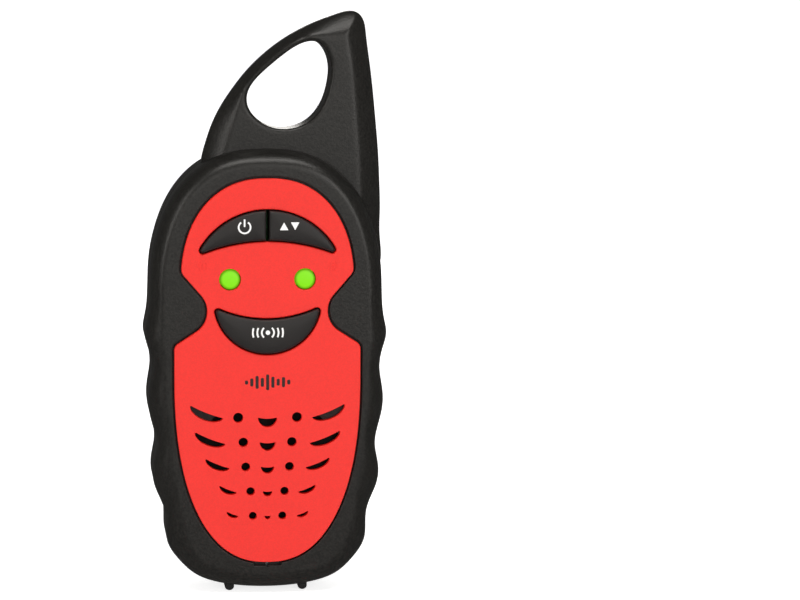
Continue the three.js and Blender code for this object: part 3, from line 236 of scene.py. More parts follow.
def plate_outline(size):
    """The face plate: two superellipse lobes joined at a waist by arcs and the lines that touch them."""
    half = size.case_width / 2
    level = size.waist + UPPER_CORNER
    upper = superellipse(half - UPPER_BEZEL, level, size.plate_top - level, LOBE_EXPONENT, 40, UPPER_TAPER)
    level = size.waist - LOWER_LOBE
    lower = superellipse(half - LOWER_BEZEL, level, size.plate_bottom - level, LOBE_EXPONENT, 60)
    upper_corner, upper = upper[-1], upper[:-1]
    lower_corner = (half - LOWER_BEZEL, size.waist - LOWER_CORNER)
    centre = (half - WAIST_BEZEL + WAIST_RADIUS, size.waist)
    ends = touch(upper_corner, centre, WAIST_RADIUS, 1), touch(lower_corner, centre, WAIST_RADIUS, -1)
    angles = [math.atan2(p[1] - centre[1], p[0] - centre[0]) % (2 * math.pi) for p in ends]
    side = [
        upper,
        bent(upper[-1], upper_corner, ends[0], size.plate_corner),
        arc(*centre, WAIST_RADIUS, *angles, 24),
        bent(ends[1], lower_corner, lower[0], size.plate_corner),
        lower,
    ]
    return resampled(mirrored(np.vstack(side)), 520)


# Each key opening: the hollow arc's level from the waist, the height from there to the bulging arc, the
# two arcs' radii, the radius of the tips and which way it bulges.
UPPER_OPENING = SimpleNamespace(inner=17.05, height=7.95, outer_radius=19.35, inner_radius=43.4, tip=0.9, bulge=1)
LOWER_OPENING = SimpleNamespace(inner=-1.8, height=9.05, outer_radius=13.35, inner_radius=29.1, tip=0.9, bulge=-1)


def crescent(opening, size, grow=0.0):
    """Two arcs that meet in round tips, with every edge moved out by `grow`.

    A tip's centre is R1 - r from the outer arc's centre and R2 + r from the inner one's.
    """
    o, g = opening, grow / MM
    outer_level, outer = o.height - o.outer_radius, o.outer_radius + g
    inner_level, inner = -o.inner_radius, o.inner_radius - g
    tip = o.tip + g
    p, q = outer - tip, inner + tip
    level = (q * q - p * p + outer_level**2 - inner_level**2) / (2 * (outer_level - inner_level))
    x = math.sqrt(p * p - (level - outer_level) ** 2)
    a, b = math.atan2(level - outer_level, x), math.atan2(level - inner_level, x)
    shape = np.vstack(
        [
            arc(0, outer_level, outer, a, math.pi - a, 90),
            arc(-x, level, tip, math.pi - a, 2 * math.pi - b, 16)[1:-1],
            arc(0, inner_level, inner, math.pi - b, b, 90),
            arc(x, level, tip, b - math.pi, a, 16)[1:-1],
        ]
    )
    placed = shape * (MM, o.bulge * MM) + (0, size.waist + o.inner * MM)
    return resampled(placed if o.bulge > 0 else placed[::-1], 200)


SLOT_SAG = 0.14  # how far a slot's upper side dips, as a share of its height
SLOT_FULLNESS = 0.54  # the exponent of its lower side


def averaged(outline, radius, count):
    """An outline of 4 count points whose corners are rounded by averaging along it."""
    shape = resampled(outline, count * 4)
    reach = max(1, round(radius / np.linalg.norm(shape[1] - shape[0])))
    return np.mean([np.roll(shape, k, 0) for k in range(-reach, reach + 1)], axis=0)


def slot(x, z, length, height, angle=0.0):
    """A slot with round corners: upper side -sag h (1 - u^2), lower side -h (1 - u^2)^fullness."""
    u = -np.cos(np.linspace(0, math.pi, 61))
    full = np.clip(1 - u * u, 0, 1)
    lower = np.stack([u * length / 2, -height * full**SLOT_FULLNESS], axis=1)
    upper = np.stack([u * length / 2, -SLOT_SAG * height * full], axis=1)[::-1]
    shape = averaged(np.vstack([lower[:-1], upper[:-1]]), 0.22 * MM, 72)
    turn = np.array([[math.cos(angle), math.sin(angle)], [-math.sin(angle), math.cos(angle)]])
    return resampled(shape, 72) @ turn + (x, z)


# ---------------------------------------------------------------- surfaces


class Surface:
    """Points with quads and polygons, before they become a mesh."""

    def __init__(self, points, quads=(), polygons=()):
        self.points = np.asarray(points, float).reshape(-1, 3)
        self.quads = np.asarray(quads, int).reshape(-1, 4)
        self.polygons = [np.asarray(p, int) for p in polygons]

    def __add__(self, other):
        shift = len(self.points)
        return Surface(
            np.vstack([self.points, other.points]),
            np.vstack([self.quads, other.quads + shift]),
            self.polygons + [p + shift for p in other.polygons],
        )

    def moved(self, offset):
        return Surface(self.points + offset, self.quads, self.polygons)

    def mesh(self, name):
        faces = [*self.quads.tolist(), *(p.tolist() for p in self.polygons)]
        mesh = bpy.data.meshes.new(name)
        mesh.from_pydata(self.points.tolist(), [], faces)
        return mesh


def grid(points, wrap_u=False, wrap_v=False):
    """The quads of a grid of points, indexed [v][u], with normals along d/dv x d/du."""
    rows, columns = points.shape[:2]
    i = np.arange(rows - (not wrap_v))[:, None]
    j = np.arange(columns - (not wrap_u))[None, :]
    k, m = (i + 1) % rows, (j + 1) % columns
    quads = np.stack([i * columns + j, k * columns + j, k * columns + m, i * columns + m], axis=-1)
    return quads.reshape(-1, 4)


def loft(rings):
    """A closed solid over rings of (outline, depth) that share one number of points, front to back.

    Ring k is its (x, z) outline at y = depth, neighbouring rings are joined point to point, and one
    polygon closes each end.
    """
    points = np.stack([np.insert(outline, 1, depth, axis=1) for outline, depth in rings])
    rows, count = points.shape[:2]
    front = np.arange(count)
    back = (rows - 1) * count + front[::-1]
    return Surface(points, grid(points, wrap_u=True), [front, back])


def prism(outline, front, back, rim=0.0, heel=0.0):
    """An outline carried straight back, its front edge rounded by `rim` and its back edge by `heel`."""
    turns = [(math.sin(t), math.cos(t)) for t in np.linspace(0, math.pi / 2, 5)]
    rings = [(outline, front)]
    if rim:
        rings = [(grown(outline, -1.6 * rim), front)]
        rings += [(grown(outline, -rim * (1 - sine)), front + rim * (1 - cosine)) for sine, cosine in turns]
    if heel:
        rings += [(grown(outline, -heel * (1 - cosine)), back - heel * (1 - sine)) for sine, cosine in turns]
        rings.append((grown(outline, -1.6 * heel), back))
    else:
        rings.append((outline, back))
    return loft(rings)


def opening(outline, face, back, flare):
    """A cutter for an opening in a flat face, whose sides flare out by a quarter circle at the face."""
    quarter = np.linspace(0, math.pi / 2, 6)
    over = 2 * MM
    rings = [(grown(outline, flare), face - over)]
    rings += [(grown(outline, flare * (1 - math.sin(t))), face + flare * (1 - math.cos(t))) for t in quarter]
    rings.append((outline, back))
    return loft(rings)


def opening_behind(outline, front, face, flare):
    """The same for an opening in a face that looks backwards."""
    quarter = np.linspace(0, math.pi / 2, 6)
    rings = [(outline, front)]
    rings += [(grown(outline, flare * (1 - math.cos(t))), face - flare * (1 - math.sin(t))) for t in quarter]
    rings.append((grown(outline, flare), face + 2 * MM))
    return loft(rings)


def lathe(profile, x, z, count=64):
    """A closed profile of (radius, depth) turned about the line along Y through (x, z).

    x = r cos a, y = depth, z = r sin a. Points on the axis become one pole each.
    """
    profile = np.asarray(profile, float)
    inner = profile[1:-1] if profile[0, 0] == 0 and profile[-1, 0] == 0 else profile
    angle = np.arange(count) / count * 2 * math.pi
    r, y = inner[:, :1], inner[:, 1:]
    points = np.stack([x + r * np.cos(angle), y + 0 * angle, z + r * np.sin(angle)], axis=-1)
    rows = len(points)
    if inner is profile:
        return Surface(points, grid(points, wrap_u=True, wrap_v=True))
    front, back = np.arange(count), (rows - 1) * count + np.arange(count)[::-1]
    return Surface(points, grid(points, wrap_u=True), [front, back])


def rod_x(radius, x0, x1, y, z, chamfer=0.0, count=48):
    """A cylinder along X with chamfered ends."""
    angle = np.arange(count) / count * 2 * math.pi
    stations = [(x0, radius - chamfer), (x0 + chamfer, radius), (x1 - chamfer, radius), (x1, radius - chamfer)]
    if not chamfer:
        stations = [(x0, radius), (x1, radius)]
    points = np.stack(
        [np.stack([x + 0 * angle, y - r * np.cos(angle), z + r * np.sin(angle)], axis=1) for x, r in stations]
    )
    rows = len(points)
    return Surface(points, grid(points, wrap_u=True), [np.arange(count), (rows - 1) * count + np.arange(count)[::-1]])


def block(x, y, z, radius=0.0):
    """A box between pairs of coordinates, its upright edges rounded."""
    return prism(rectangle(*sorted(x), *sorted(z), radius or 0.05 * MM, 5 if radius else 2), *sorted(y))


def inside(points, polygon):
    """Whether each point is inside a polygon, by counting the edges that a ray to +x crosses."""
    x, z = points[:, :1], points[:, 1:]
    a, b = polygon, np.roll(polygon, -1, 0)
    straddles = (a[:, 1] > z) != (b[:, 1] > z)
    rise = np.where(b[:, 1] == a[:, 1], 1e-12, b[:, 1] - a[:, 1])
    crossing = a[:, 0] + (z - a[:, 1]) * (b[:, 0] - a[:, 0]) / rise
    return (straddles & (x < crossing)).sum(axis=1) % 2 == 1


def distance_to(points, polygon):
    """Each point's distance to a polygon's nearest edge, from its foot clamped to the edge's ends."""
    a = polygon
    edge = np.roll(polygon, -1, 0) - a
    result = np.empty(len(points))
    for part in np.array_split(np.arange(len(points)), max(1, len(points) // 2000)):
        offset = points[part, None] - a
        t = np.clip((offset * edge).sum(-1) / (edge**2).sum(-1), 0, 1)
        result[part] = np.linalg.norm(offset - t[..., None] * edge, axis=-1).min(axis=1)
    return result


def relief(outline, holes, spacing, near, height):
    """A solid with a flat back at y = 0 and a carved front at y = -height(distance in, distances to holes).

    The face is a triangulation of the boundary, of rings of points just inside it at the distances
    `near`, and of a staggered grid with the given spacing. Its copy at y = 0 and a wall close it.
    """
    borders = [outline, *holes]
    low, high = outline.min(0), outline.max(0)
    columns = np.arange(low[0], high[0], spacing)
    rows = np.arange(low[1], high[1], spacing * 0.866)
    mesh_x, mesh_z = np.meshgrid(columns, rows)
    mesh_x[1::2] += spacing / 2
    candidates = [(np.stack([mesh_x.ravel(), mesh_z.ravel()], axis=1), near[-1] + spacing * 0.4)]
    for step in near:
        candidates.append((grown(outline, -step), step * 0.97))
        candidates += [(grown(hole, step), step * 0.97) for hole in holes]

    def on_face(points):
        return inside(points, outline) & ~np.any([inside(points, hole) for hole in holes] or [[False]], axis=0)

    kept = []
    for points, least in candidates:
        points = points[on_face(points)]
        clearance = np.min([distance_to(points, border) for border in borders], axis=0)
        kept.append(points[clearance >= least])
    flat = np.vstack([*borders, *kept])
    starts = np.cumsum([0, *(len(b) for b in borders)])
    edges = [(int(s + i), int(s + (i + 1) % len(b))) for s, b in zip(starts, borders) for i in range(len(b))]
    found = delaunay_2d_cdt([Vector(p) for p in flat / MM], edges, [], 0, 1e-6)
    flat = np.array([tuple(p) for p in found[0]]) * MM
    triangles = np.array(found[2])
    triangles = triangles[on_face(flat[triangles].mean(axis=1))]
    ab, ac = flat[triangles[:, 1]] - flat[triangles[:, 0]], flat[triangles[:, 2]] - flat[triangles[:, 0]]
    turned = ab[:, 0] * ac[:, 1] - ab[:, 1] * ac[:, 0] < 0
    triangles[turned] = triangles[turned][:, ::-1]
    depth = -height(flat, [distance_to(flat, border) for border in borders])
    count = len(flat)
    points = np.vstack([np.insert(flat, 1, depth, axis=1), np.insert(flat, 1, 0.0, axis=1)])
    sides = np.vstack([triangles[:, pair] for pair in ([0, 1], [1, 2], [2, 0])])
    _, first, uses = np.unique(np.sort(sides, axis=1), axis=0, return_index=True, return_counts=True)
    rim = sides[first[uses == 1]]
    walls = np.stack([rim[:, 1], rim[:, 0], rim[:, 0] + count, rim[:, 1] + count], axis=1)
    return Surface(points, walls, [*triangles, *(triangles[:, ::-1] + count)])


# ---------------------------------------------------------------- meshes and objects


def holder_of(shape):
    """An object that only takes part in a boolean, from a surface or a mesh."""
    mesh = shape.mesh("tool") if isinstance(shape, Surface) else shape
    holder = bpy.data.objects.new("tool", mesh)
    bpy.context.scene.collection.objects.link(holder)
    return holder


def drop(holder):
    mesh = holder.data
    bpy.data.objects.remove(holder)
    bpy.data.meshes.remove(mesh)


def carved(base, joins=(), overlaps=(), cuts=()):
    """The mesh of a shape with others joined to it, then kept in common with it, then cut from it."""
    solid = holder_of(base)
    tools = []
    for operation, shapes in (("UNION", joins), ("INTERSECT", overlaps), ("DIFFERENCE", cuts)):
        for shape in shapes:
            tools.append(holder_of(shape))
            boolean = solid.modifiers.new("boolean", "BOOLEAN")
            boolean.operation = operation
            boolean.solver = "MANIFOLD"
            boolean.object = tools[-1]
    result = bpy.data.meshes.new_from_object(solid.evaluated_get(bpy.context.evaluated_depsgraph_get()))
    for holder in [solid, *tools]:
        drop(holder)
    if not len(result.polygons):
        raise RuntimeError("a boolean left nothing")
    return result


def finished(mesh, sharp):
    """Smooth shading that keeps edges over `sharp` degrees, with flat faces pulling their rims flat."""
    mesh.shade_smooth()
    mesh.set_sharp_from_angle(angle=math.radians(sharp))
    holder = bpy.data.objects.new("normals", mesh)
    bpy.context.scene.collection.objects.link(holder)
    weighted = holder.modifiers.new("weighted", "WEIGHTED_NORMAL")
    weighted.keep_sharp = True
    result = bpy.data.meshes.new_from_object(holder.evaluated_get(bpy.context.evaluated_depsgraph_get()))
    drop(holder)
    return result


def place(name, mesh, material, body, replaces=(), sharp=35):
    """A finished piece: its mesh, its material, the body it rides on and the CAD nodes it stands for."""
    if isinstance(mesh, Surface):
        mesh = mesh.mesh(name)
    mesh = finished(mesh, sharp)
    mesh.name = name
    mesh.materials.clear()
    mesh.materials.append(material)
    piece = bpy.data.objects.new(name, mesh)
    bpy.context.scene.collection.objects.link(piece)
    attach(piece, body)
    if replaces:
        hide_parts(*replaces)
    return piece


# ---------------------------------------------------------------- shader maths


class Value:
    """A socket whose arithmetic adds Math nodes to its shader."""

    def __init__(self, shader, socket):
        self.shader = shader
        self.socket = socket

    def maths(self, operation, *others):
        return self.shader.node("ShaderNodeMath", {"operation": operation}, {0: self, **dict(enumerate(others, 1))})

    def __add__(self, other):
        return self.maths("ADD", other)

    __radd__ = __add__

    def __mul__(self, other):
        return self.maths("MULTIPLY", other)

    __rmul__ = __mul__

    def __sub__(self, other):
        return self.maths("SUBTRACT", other)

    def __pow__(self, other):
        return self.maths("POWER", other)


class Shader:
    """One material, its Principled shader and the nodes that feed it."""

    def __init__(self, name, **settings):
        self.material = bpy.data.materials.new(name)
        self.material.use_nodes = True
        self.tree = self.material.node_tree
        self.principled = self.tree.nodes["Principled BSDF"]
        for socket, value in settings.items():
            self.principled.inputs[socket.replace("_", " ")].default_value = value
        self.place = self.node("ShaderNodeTexCoord", {}, {}, output="Object")

    def node(self, kind, settings, sockets, output=0):
        """Any node: its settings first, such as an operation, then its sockets."""
        node = self.tree.nodes.new(kind)
        for key, value in settings.items():
            setattr(node, key, value)
        for key, value in sockets.items():
            if isinstance(value, Value):
                self.tree.links.new(value.socket, node.inputs[key])
            else:
                node.inputs[key].default_value = value
        return Value(self, node.outputs[output])

    def noise(self, scale, detail=2.0, roughness=0.5, vector=None):
        """Noise with features about 1 / scale metres across, from 0 to 1."""
        sockets = {"Vector": vector or self.place, "Scale": scale, "Detail": detail, "Roughness": roughness}
        return self.node("ShaderNodeTexNoise", {}, sockets)

    def smooth(self, value, low, high):
        """0 below low, 1 above high, smooth between."""
        sockets = {"Value": value, "From Min": low, "From Max": high}
        return self.node("ShaderNodeMapRange", {"interpolation_type": "SMOOTHSTEP"}, sockets)

    def axis(self, name):
        """The place's X, Y or Z."""
        return self.node("ShaderNodeSeparateXYZ", {}, {0: self.place}, output=name)

    def mix(self, factor, first, second):
        """A colour between two others."""
        sockets = {0: factor, 6: first, 7: second}
        return self.node("ShaderNodeMix", {"data_type": "RGBA"}, sockets, output=2)

    def set(self, socket, value):
        self.tree.links.new(value.socket, self.principled.inputs[socket])

    def bump(self, height, distance):
        sockets = {"Height": height, "Distance": distance, "Strength": 1.0}
        self.set("Normal", self.node("ShaderNodeBump", {}, sockets))


def rgb(colour, share=1.0):
    return (*(min(1.0, c * share) for c in colour[:3]), 1.0)


def moulded(name, colour, roughness, grain=0.012 * MM, cell=0.32 * MM, coat=0.0, variation=0.12, flecks=0.26):
    """Moulded plastic: an eroded grain with paler flecks, faint blotches of tone, and glossier high spots."""
    shader = Shader(name, Roughness=roughness, Coat_Weight=coat, Coat_Roughness=0.35)
    pits = shader.noise(1 / cell, detail=3.0, roughness=0.62)
    blotch = shader.noise(1 / (9 * MM), detail=3.0)
    tone = shader.mix(blotch, rgb(colour, 1 - variation), rgb(colour, 1 + variation))
    fine = shader.smooth(pits, 0.35, 0.65)
    shader.set("Base Color", shader.mix(fine * 0.35, tone, rgb(colour, 1 + flecks)))
    shader.set("Roughness", (roughness - 0.05) + 0.12 * pits - 0.05 * blotch)
    shader.bump(pits, grain)
    return shader.material


def metal(name, colour, roughness):
    """Plated or rolled metal with faint drawn scratches and tarnish."""
    shader = Shader(name, Metallic=1.0, Roughness=roughness)
    stretch = shader.node("ShaderNodeMapping", {}, {"Vector": shader.place, "Scale": (1.0, 1.0, 0.12)})
    drawn = shader.noise(1 / (0.15 * MM), vector=stretch)
    tarnish = shader.noise(1 / (3 * MM), detail=4.0)
    shader.set("Base Color", shader.mix(tarnish, rgb(colour, 0.8), rgb(colour, 1.08)))
    shader.set("Roughness", roughness + 0.16 * drawn)
    shader.bump(drawn, 0.004 * MM)
    return shader.material


def lit_lens(name, colour, strength, centre):
    """A lamp lit from inside: a bright core whose frosted edge dims from 1.7 to 2.5 mm off the lamp's axis."""
    shader = Shader(name, Roughness=0.45, Emission_Strength=strength)
    frost = shader.noise(1 / (0.6 * MM))
    across, up = shader.axis("X").maths("ABSOLUTE") - centre.x, shader.axis("Z") - centre.z
    edge = shader.smooth((across * across + up * up) ** 0.5, 1.7 * MM, 2.5 * MM)
    core = shader.mix(frost, rgb(colour, 0.94), rgb(colour, 1.0))
    shader.set("Base Color", shader.mix(frost, rgb(colour, 0.04), rgb(colour, 0.06)))
    shader.set("Emission Color", shader.mix(edge, core, rgb(colour, 0.4)))
    shader.bump(frost, 0.01 * MM)
    return shader.material


def weave(name, colour, pitch):
    """Plain weave: two sine ridges across each other, with painted shade in the hollows between them, paler towards the
    crests.
    """
    shader = Shader(name, Roughness=0.9)
    turn = 2 * math.pi / pitch
    ridge = (shader.axis("X") * turn).maths("SINE") * (shader.axis("Z") * turn).maths("SINE")
    height = (ridge + 1) * 0.5
    # Painted shade: the colour darkens from the crests down into the hollows of the weave, following the same height as
    # the bump.
    shader.set("Base Color", shader.mix(height, rgb(colour, 0.4), rgb(colour, 1.5)))
    shader.bump(height, 0.06 * MM)
    return shader.material


def board_finish(name, mask_colour, track_colour):
    """Solder mask over copper tracks: a fine square network, raised a little."""
    shader = Shader(name, Roughness=0.32)
    cells = shader.node("ShaderNodeTexVoronoi", {}, {"Vector": shader.place, "Scale": 1 / (2.2 * MM)}, "Distance")
    tracks = shader.smooth(cells, 0.42, 0.5)
    tone = shader.noise(1 / (6 * MM))
    base = shader.mix(tone, rgb(mask_colour, 0.85), rgb(mask_colour, 1.15))
    shader.set("Base Color", shader.mix(tracks, base, rgb(track_colour)))
    shader.bump(tracks, 0.03 * MM)
    return shader.material


# ---------------------------------------------------------------- sizes and colours


def length(name, description, default):
    return bpy.props.FloatProperty(
        name=name, description=description, default=default, min=0.0, subtype="DISTANCE", unit="LENGTH", precision=5
    )


def colour(name, description, default):
    return bpy.props.FloatVectorProperty(
        name=name, description=description, default=default, size=3, min=0.0, max=1.0, subtype="COLOR"
    )


class HandsetSizes(bpy.types.PropertyGroup):
    """Sizes of the mouldings, in metres. Places come from the frame."""

    case_width: length("Case width", "Over the widest grip crest", 59.8 * MM)
    case_height: length("Case height", "Case without fin and feet", 109.1 * MM)
    case_wall: length("Case wall", "Thickness of the shells' walls", 2.0 * MM)
    edge_inset: length("Edge inset", "Outline to the flat face", 4.1 * MM)
    edge_depth: length("Edge depth", "How deep the rounded edge runs", 6.0 * MM)
    fin_height: length("Fin height", "Fin above the case", 33.5 * MM)
    fin_thickness: length("Fin thickness", "Both halves together", 11.0 * MM)
    fin_slope: length("Fin slope", "Width of the slope between the fin's edge and its ridge", 5.3 * MM)
    loop_round: length("Loop edge", "Rounding of the loop's edge", 1.0 * MM)
    plate_gap: length("Plate groove", "Groove round the face plate", 0.45 * MM)
    plate_corner: length("Plate corners", "Reach of the face plate's rounded corners", 1.1 * MM)
    key_clearance: length("Key clearance", "Gap round each key", 0.35 * MM)
    key_crown: length("Key crown", "How far a key's middle stands above its edge", 0.35 * MM)
    seam_round: length("Seam rounding", "Rounding of the shells' edges at the seam", 0.18 * MM)


class HandsetColours(bpy.types.PropertyGroup):
    """Colours of the mouldings, lamps and print, linear."""

    casing: colour("Casing", "Black shells, clip and cover", (0.010, 0.0095, 0.0085))
    face: colour("Face plate", "Red plate", (0.79, 0.0145, 0.007))
    keys: colour("Keys", "Charcoal keys", (0.016, 0.0135, 0.013))
    lamp: colour("Lamps", "Lit green lamps", (0.25, 0.84, 0.003))
    print_light: colour("Light print", "White symbols on the keys", (0.85, 0.85, 0.85))
    print_dark: colour("Dark print", "Mark on the face plate", (0.03, 0.012, 0.01))
    floor: colour("Floor", "Pale studio floor", (0.93, 0.93, 0.93))


PIN_RADIUS = 1.0 * MM
PIN_STANDOFF = 2.3 * MM  # from the back face to the clip pin's middle


def layout():
    """Every size and level that the pieces share: the user's, and those worked out from the frame."""
    sizes = bpy.context.scene.handset_sizes
    s = SimpleNamespace(**{name: getattr(sizes, name) for name in HandsetSizes.__annotations__})
    shell, rear, plate = (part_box(n) for n in ("front_shell", "rear_shell", "face_plate"))
    s.case_bottom = shell[0].z
    s.case_top = s.case_bottom + s.case_height
    s.waist = s.case_bottom + WAIST * s.case_height
    s.face = shell[0].y
    s.seam, s.rear_seam = shell[1].y, rear[0].y
    s.plate_front, s.plate_back = plate[0].y, plate[1].y
    s.plate_bottom, s.plate_top = plate[0].z, plate[1].z
    pin_low, pin_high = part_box("clip_pin")
    s.back = pin_low.y + PIN_RADIUS - PIN_STANDOFF
    s.pin = Vector((0, (pin_low.y + pin_high.y) / 2, pin_low.z + PIN_RADIUS))
    s.floor_front = s.plate_back + 0.3 * MM
    s.floor_back = s.floor_front + 1.5 * MM
    s.mid = (s.seam + s.rear_seam) / 2
    s.outline = case_outline(s, GRIPS, 640)
    s.flat = facing(grown(case_outline(s, SIDES, 2400), -s.edge_inset), s.outline, s)
    half = np.array([s.case_width / 2, s.fin_height])
    s.fin = spline(np.array(FIN) * half + (0, s.case_top), 460)
    s.loop = spline(np.array(LOOP) * half + (0, s.case_top), 260)
    s.plate = plate_outline(s)
    return s


def box_centre(node):
    low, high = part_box(node)
    return (low + high) / 2


# ---------------------------------------------------------------- case


def case_half(s, flat, end):
    """Half of the case from its flat face to the seam, along a quarter ellipse between them.

    outline = flat + (wall - flat) sin t, depth = edge_depth (1 - cos t), so the grips fade out
    towards the flat face.
    """
    sign = 1 if end > flat else -1
    r = s.seam_round
    rings = [(grown(s.flat, -0.5 * MM), flat)]
    for t in np.linspace(0, math.pi / 2, 18):
        rings.append((s.flat + (s.outline - s.flat) * math.sin(t), flat + sign * s.edge_depth * (1 - math.cos(t))))
    for t in np.linspace(0, math.pi / 2, 5):
        rings.append((grown(s.outline, -r * (1 - math.cos(t))), end - sign * r * (1 - math.sin(t))))
    rings.append((grown(s.outline, -3 * r), end))
    return loft(rings if sign > 0 else rings[::-1])


def fin_half(s, front):
    """Half of the fin: a flat panel whose rim slopes off past a soft ridge, with a rounded loop.

    height = edge + (full - edge) * (0.42 sqrt(1 - (1 - u)^2) + 0.58 bevel), where u is the distance in
    over the slope's width, which narrows beside the loop, and bevel is u turning softly into 1, less
    a quarter circle at the loop's edge.
    """
    full = s.mid - s.rear_seam + s.fin_thickness / 2
    edge = 0.9 * MM

    def height(points, distances):
        outer, loop = distances
        narrow = 0.62 * (outer + loop) + 1e-9
        slope = (s.fin_slope**-4 + narrow**-4) ** -0.25
        u = np.clip(outer / slope, 0, 1)
        soft = 0.09
        bevel = 1 - soft * np.log1p(np.exp(np.clip((1 - outer / slope) / soft, -60, 60)))
        rise = 0.42 * np.sqrt(1 - (1 - u) ** 2) + 0.58 * bevel
        v = np.clip(loop / s.loop_round, 0, 1)
        return edge + (full - edge) * rise - s.loop_round * (1 - np.sqrt(1 - (1 - v) ** 2))

    near = np.array([0.06, 0.16, 0.32, 0.55, 0.9, 1.35]) * MM
    half = relief(s.fin, [s.loop], 0.62 * MM, near, height)
    if front:
        return half.moved((0, s.seam, 0))
    points = half.points * (1, -1, 1) + (0, s.rear_seam, 0)
    return Surface(points, half.quads[:, ::-1], [p[::-1] for p in half.polygons])


def fin_hollow(s, front, back):
    """The space inside the fin, between its rim and its loop."""
    rim = prism(resampled(grown(s.fin, -2.6 * MM), 200), front, back)
    core = prism(resampled(grown(s.loop, 1.8 * MM), 160), front - MM, back + MM)
    return carved(rim, cuts=[core])


BOSS_RADIUS = 3.9 * MM
SCREW_HEAD = 1.8 * MM
WELL_RADIUS = 2.9 * MM
SHANK_HOLE = 1.55 * MM
PIN_HOLE = 1.05 * MM
CASE_SCREWS = [f"{level}_{side}_case_screw" for level in ("top", "middle", "bottom") for side in ("left", "right")]
GRILLE_ROWS = [
    SimpleNamespace(dot_x=7.25, dot=1.22, smile=(4.75, 2.45), wing_x=14.95, rise=1.55, wing=(8.7, 2.2)),
    SimpleNamespace(dot_x=6.0, dot=1.15, smile=(3.9, 2.2), wing_x=14.1, rise=1.15, wing=(8.1, 2.0)),
    SimpleNamespace(dot_x=5.4, dot=1.08, smile=(3.3, 1.75), wing_x=12.3, rise=0.9, wing=(6.4, 1.65)),
    SimpleNamespace(dot_x=4.2, dot=1.02, smile=(2.35, 1.3), wing_x=9.7, rise=0.65, wing=(4.6, 1.3)),
    SimpleNamespace(dot_x=3.65, dot=0.97, smile=(1.5, 0.95), wing_x=8.6, rise=0.55, wing=(3.1, 1.0)),
]
GRILLE_LEVEL = -26.35 * MM
GRILLE_PITCH = 6.13 * MM
WING_SLOPE = math.radians(22)


def wing(s, index, side, grow=0.0):
    row = GRILLE_ROWS[index]
    z = s.waist + GRILLE_LEVEL - index * GRILLE_PITCH
    outline = slot(side * row.wing_x * MM, z + row.rise * MM, row.wing[0] * MM, row.wing[1] * MM, side * WING_SLOPE)
    return grown(outline, grow)


def foot_slots(s, nodes):
    slots = []
    for node in nodes:
        low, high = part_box(node)
        gap = 0.12 * MM
        slots.append(
            block((low.x - gap, high.x + gap), (low.y - gap, high.y + gap), (-MM, high.z + 0.3 * MM), 0.5 * MM)
        )
    return slots


class HANDSET_OT_front_shell(bpy.types.Operator):
    """Bezel, the panel behind the face plate and the fin's front half, as one moulding"""

    bl_idname = "handset.front_shell"
    bl_label = "Front shell"

    def execute(self, context):
        s = layout()
        wall = s.case_wall
        hollow = prism(resampled(grown(s.outline, -wall), 320), s.floor_back, s.seam + MM)
        notch = rectangle(-3.4 * MM, 3.4 * MM, s.plate_bottom - s.plate_gap - 0.55 * MM, s.plate_bottom + MM, 0.25 * MM)
        pillars = [prism(circle_at(n, 3 * MM), s.floor_back - 0.5 * MM, s.seam - 0.1 * MM) for n in CASE_SCREWS]
        shell = carved(case_half(s, s.face, s.seam), joins=[fin_half(s, True)], cuts=[hollow])
        cuts = [
            fin_hollow(s, s.seam - 3.3 * MM, s.seam + MM),
            opening(grown(s.plate, s.plate_gap), s.face, s.floor_front, 0.22 * MM),
            opening(notch, s.face, s.floor_front, 0.15 * MM),
            prism(circle_at("microphone", 0.4 * MM), s.face, s.floor_back + MM),
            prism(crescent(UPPER_OPENING, s), s.face, s.floor_back + MM),
            prism(crescent(LOWER_OPENING, s), s.face, s.floor_back + MM),
            prism(circle_at("speaker_frame", 18.5 * MM, 96), s.face, s.floor_back + MM),
            *(prism(wing(s, 1, side, 0.3 * MM), s.face, s.floor_back + MM) for side in (-1, 1)),
            *(prism(circle_at(n, 3.2 * MM), s.face, s.floor_back + MM) for n in ("left_lamp", "right_lamp")),
            *foot_slots(s, ("front_left_foot", "front_right_foot")),
        ]
        mesh = carved(shell, joins=pillars, cuts=cuts)
        place("front_shell_moulding", mesh, FINISHES["casing"], "case", ["front_shell"], 24)
        return {"FINISHED"}


